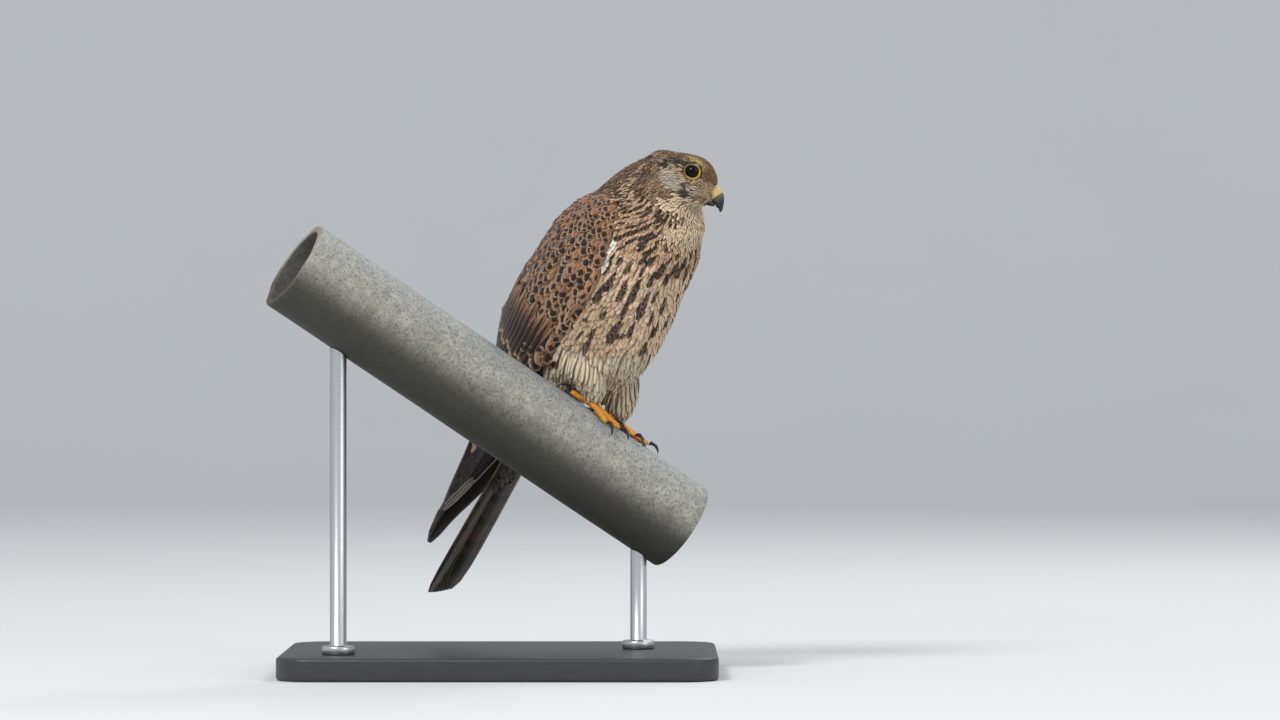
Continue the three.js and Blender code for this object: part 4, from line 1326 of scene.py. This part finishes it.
# height of the pipe's underside over a point of the floor, less a hair
def pipeUnderside(x, y):
    point = Vector((x / mm, y / mm, 0)) - Vector(pipe["crossing"])
    radius = pipe["radius"] + 0.3
    # the ray straight up meets the cylinder where its distance from the axis is the radius
    flatPoint = point - pipeAxis * point.dot(pipeAxis)
    flatUp = Vector((0, 0, 1)) - pipeAxis * pipeAxis.z
    a, b, c = flatUp.dot(flatUp), flatPoint.dot(flatUp), flatPoint.dot(flatPoint) - radius**2
    return (-b - math.sqrt(b * b - a * c)) / a * mm


def makeStand():
    low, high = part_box("stand_base")
    halfX, halfY, top = (high.x - low.x) / 2 / mm, (high.y - low.y) / 2 / mm, high.z / mm
    corner, bevel = stand["corner"], stand["bevel"]

    def outline(inset, z):
        points = []
        for quarter, (sx, sy) in enumerate(((1, 1), (-1, 1), (-1, -1), (1, -1))):
            for k in range(13):
                a = math.pi / 2 * (quarter + k / 12)
                points.append(((sx * (halfX - corner) + (corner - inset) * math.cos(a)) * mm,
                               (sy * (halfY - corner) + (corner - inset) * math.sin(a)) * mm, z * mm))
        return points

    bevels = [(bevel * (1 - math.cos(a)), bevel * (1 - math.sin(a)))
              for a in np.linspace(0, math.pi / 2, 7)]
    rings = [outline(inset, z) for inset, z in bevels[::-1]]
    rings += [outline(inset, top - z) for inset, z in bevels]
    board = ringSolid("standBase", rings, newMaterial("satinPaintedBoard", satinPaint))
    finishPiece(board, "stand_paint", "stand_base")
    steel = newMaterial("brushedSteel", brushedSteel)
    for end in ("high", "low"):
        low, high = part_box("stand_rod_" + end)
        x, y, foot = (low.x + high.x) / 2, (low.y + high.y) / 2, low.z / mm
        collar, rod, height = stand["collar"], stand["rod"], foot + stand["collarHeight"]
        profile = [(collar - 0.4, foot), (collar, foot + 0.4), (collar, height - 1),
                   (collar - 0.3, height - 0.3), (collar - 1, height), (rod + 0.4, height),
                   (rod, height + 0.4)]
        rings = [[(x + r * mm * math.cos(a), y + r * mm * math.sin(a), z * mm) for a in circle(48)]
                 for r, z in profile]
        # the top is cut to sit against the pipe's underside
        rings.append([(px, py, pipeUnderside(px, py)) for px, py, _ in rings[-1]])
        finishPiece(ringSolid("standRod" + end.title(), rings, steel), "stand_steel", "stand_rod_" + end)


print("stand")
makeStand()


# Studio: a pale floor that sweeps up behind, a broad key from the upper left, a soft fill and a rim

studio = {"air": 0.8, "sweepStart": 3.6, "sweepRadius": 2.0, "wall": 7.0, "halfWidth": 8.0, "front": -6.0}
lamps = {  # place and size in metres, watts
    "key": ((-1.2, -1.9, 2.3), 0.9, 62),
    "fill": ((2.0, -1.6, 1.0), 1.4, 12),
    "rim": ((1.0, 1.4, 1.8), 0.9, 16),
}
# the camera looks level along +Y, as far off as a long lens needs, at the middle of the photo's frame
view = {"distance": 3.0, "width": 0.7808, "centre": (0.08497, 0.0, 0.1907), "sensor": 36}


# background paper: matt and almost even
def paperSweep(add):
    where = add("TexCoord", out="Object")
    noise = add("TexNoise", {"Vector": where, "Scale": noiseScale(166.7)}, out="Fac")
    colour = add("Mix", {0: noise, 6: paint(0xC9CBCC), 7: paint(0xCDCFD0)}, **blend)
    return add("BsdfPrincipled", {"Base Color": colour, "Roughness": 0.9})


def makeStudio():
    start, radius, half = studio["sweepStart"], studio["sweepRadius"], studio["halfWidth"]
    curve = [(studio["front"], 0.0), (start, 0.0)]
    curve += [(start + radius * math.sin(a), radius - radius * math.cos(a))
              for a in np.linspace(0.08, math.pi / 2, 16)]
    curve.append((start + radius, studio["wall"]))
    verts = [(x, y, z) for y, z in curve for x in (-half, half)]
    faces = [(2 * k, 2 * k + 1, 2 * k + 3, 2 * k + 2) for k in range(len(curve) - 1)]
    meshObject("floorSweep", verts, faces, newMaterial("paperSweep", paperSweep))
    world = bpy.data.worlds.new("studioAir")
    world.use_nodes = True
    air = world.node_tree.nodes["Background"]
    air.inputs[0].default_value = (0.93, 0.96, 1.0, 1)
    air.inputs[1].default_value = studio["air"]
    bpy.context.scene.world = world
    bpy.context.scene.view_settings.view_transform = "Standard"
    target = Vector((0.05, 0.0, 0.18))
    for name, (place, size, power) in lamps.items():
        light = bpy.data.lights.new(name, "AREA")
        light.shape, light.size, light.energy = "DISK", size, power
        lamp = linked(name, light)
        lamp.location = place
        lamp.rotation_euler = (target - Vector(place)).to_track_quat("-Z", "Y").to_euler()


def makeCamera():
    camera = bpy.data.cameras.new("camera")
    camera.sensor_width = view["sensor"]
    camera.lens = view["sensor"] * view["distance"] / view["width"]
    holder = linked("camera", camera)
    x, y, z = view["centre"]
    holder.location = (x, y - view["distance"], z)
    holder.rotation_euler = (math.pi / 2, 0, 0)
    bpy.context.scene.camera = holder


print("studio")
makeStudio()
makeCamera()
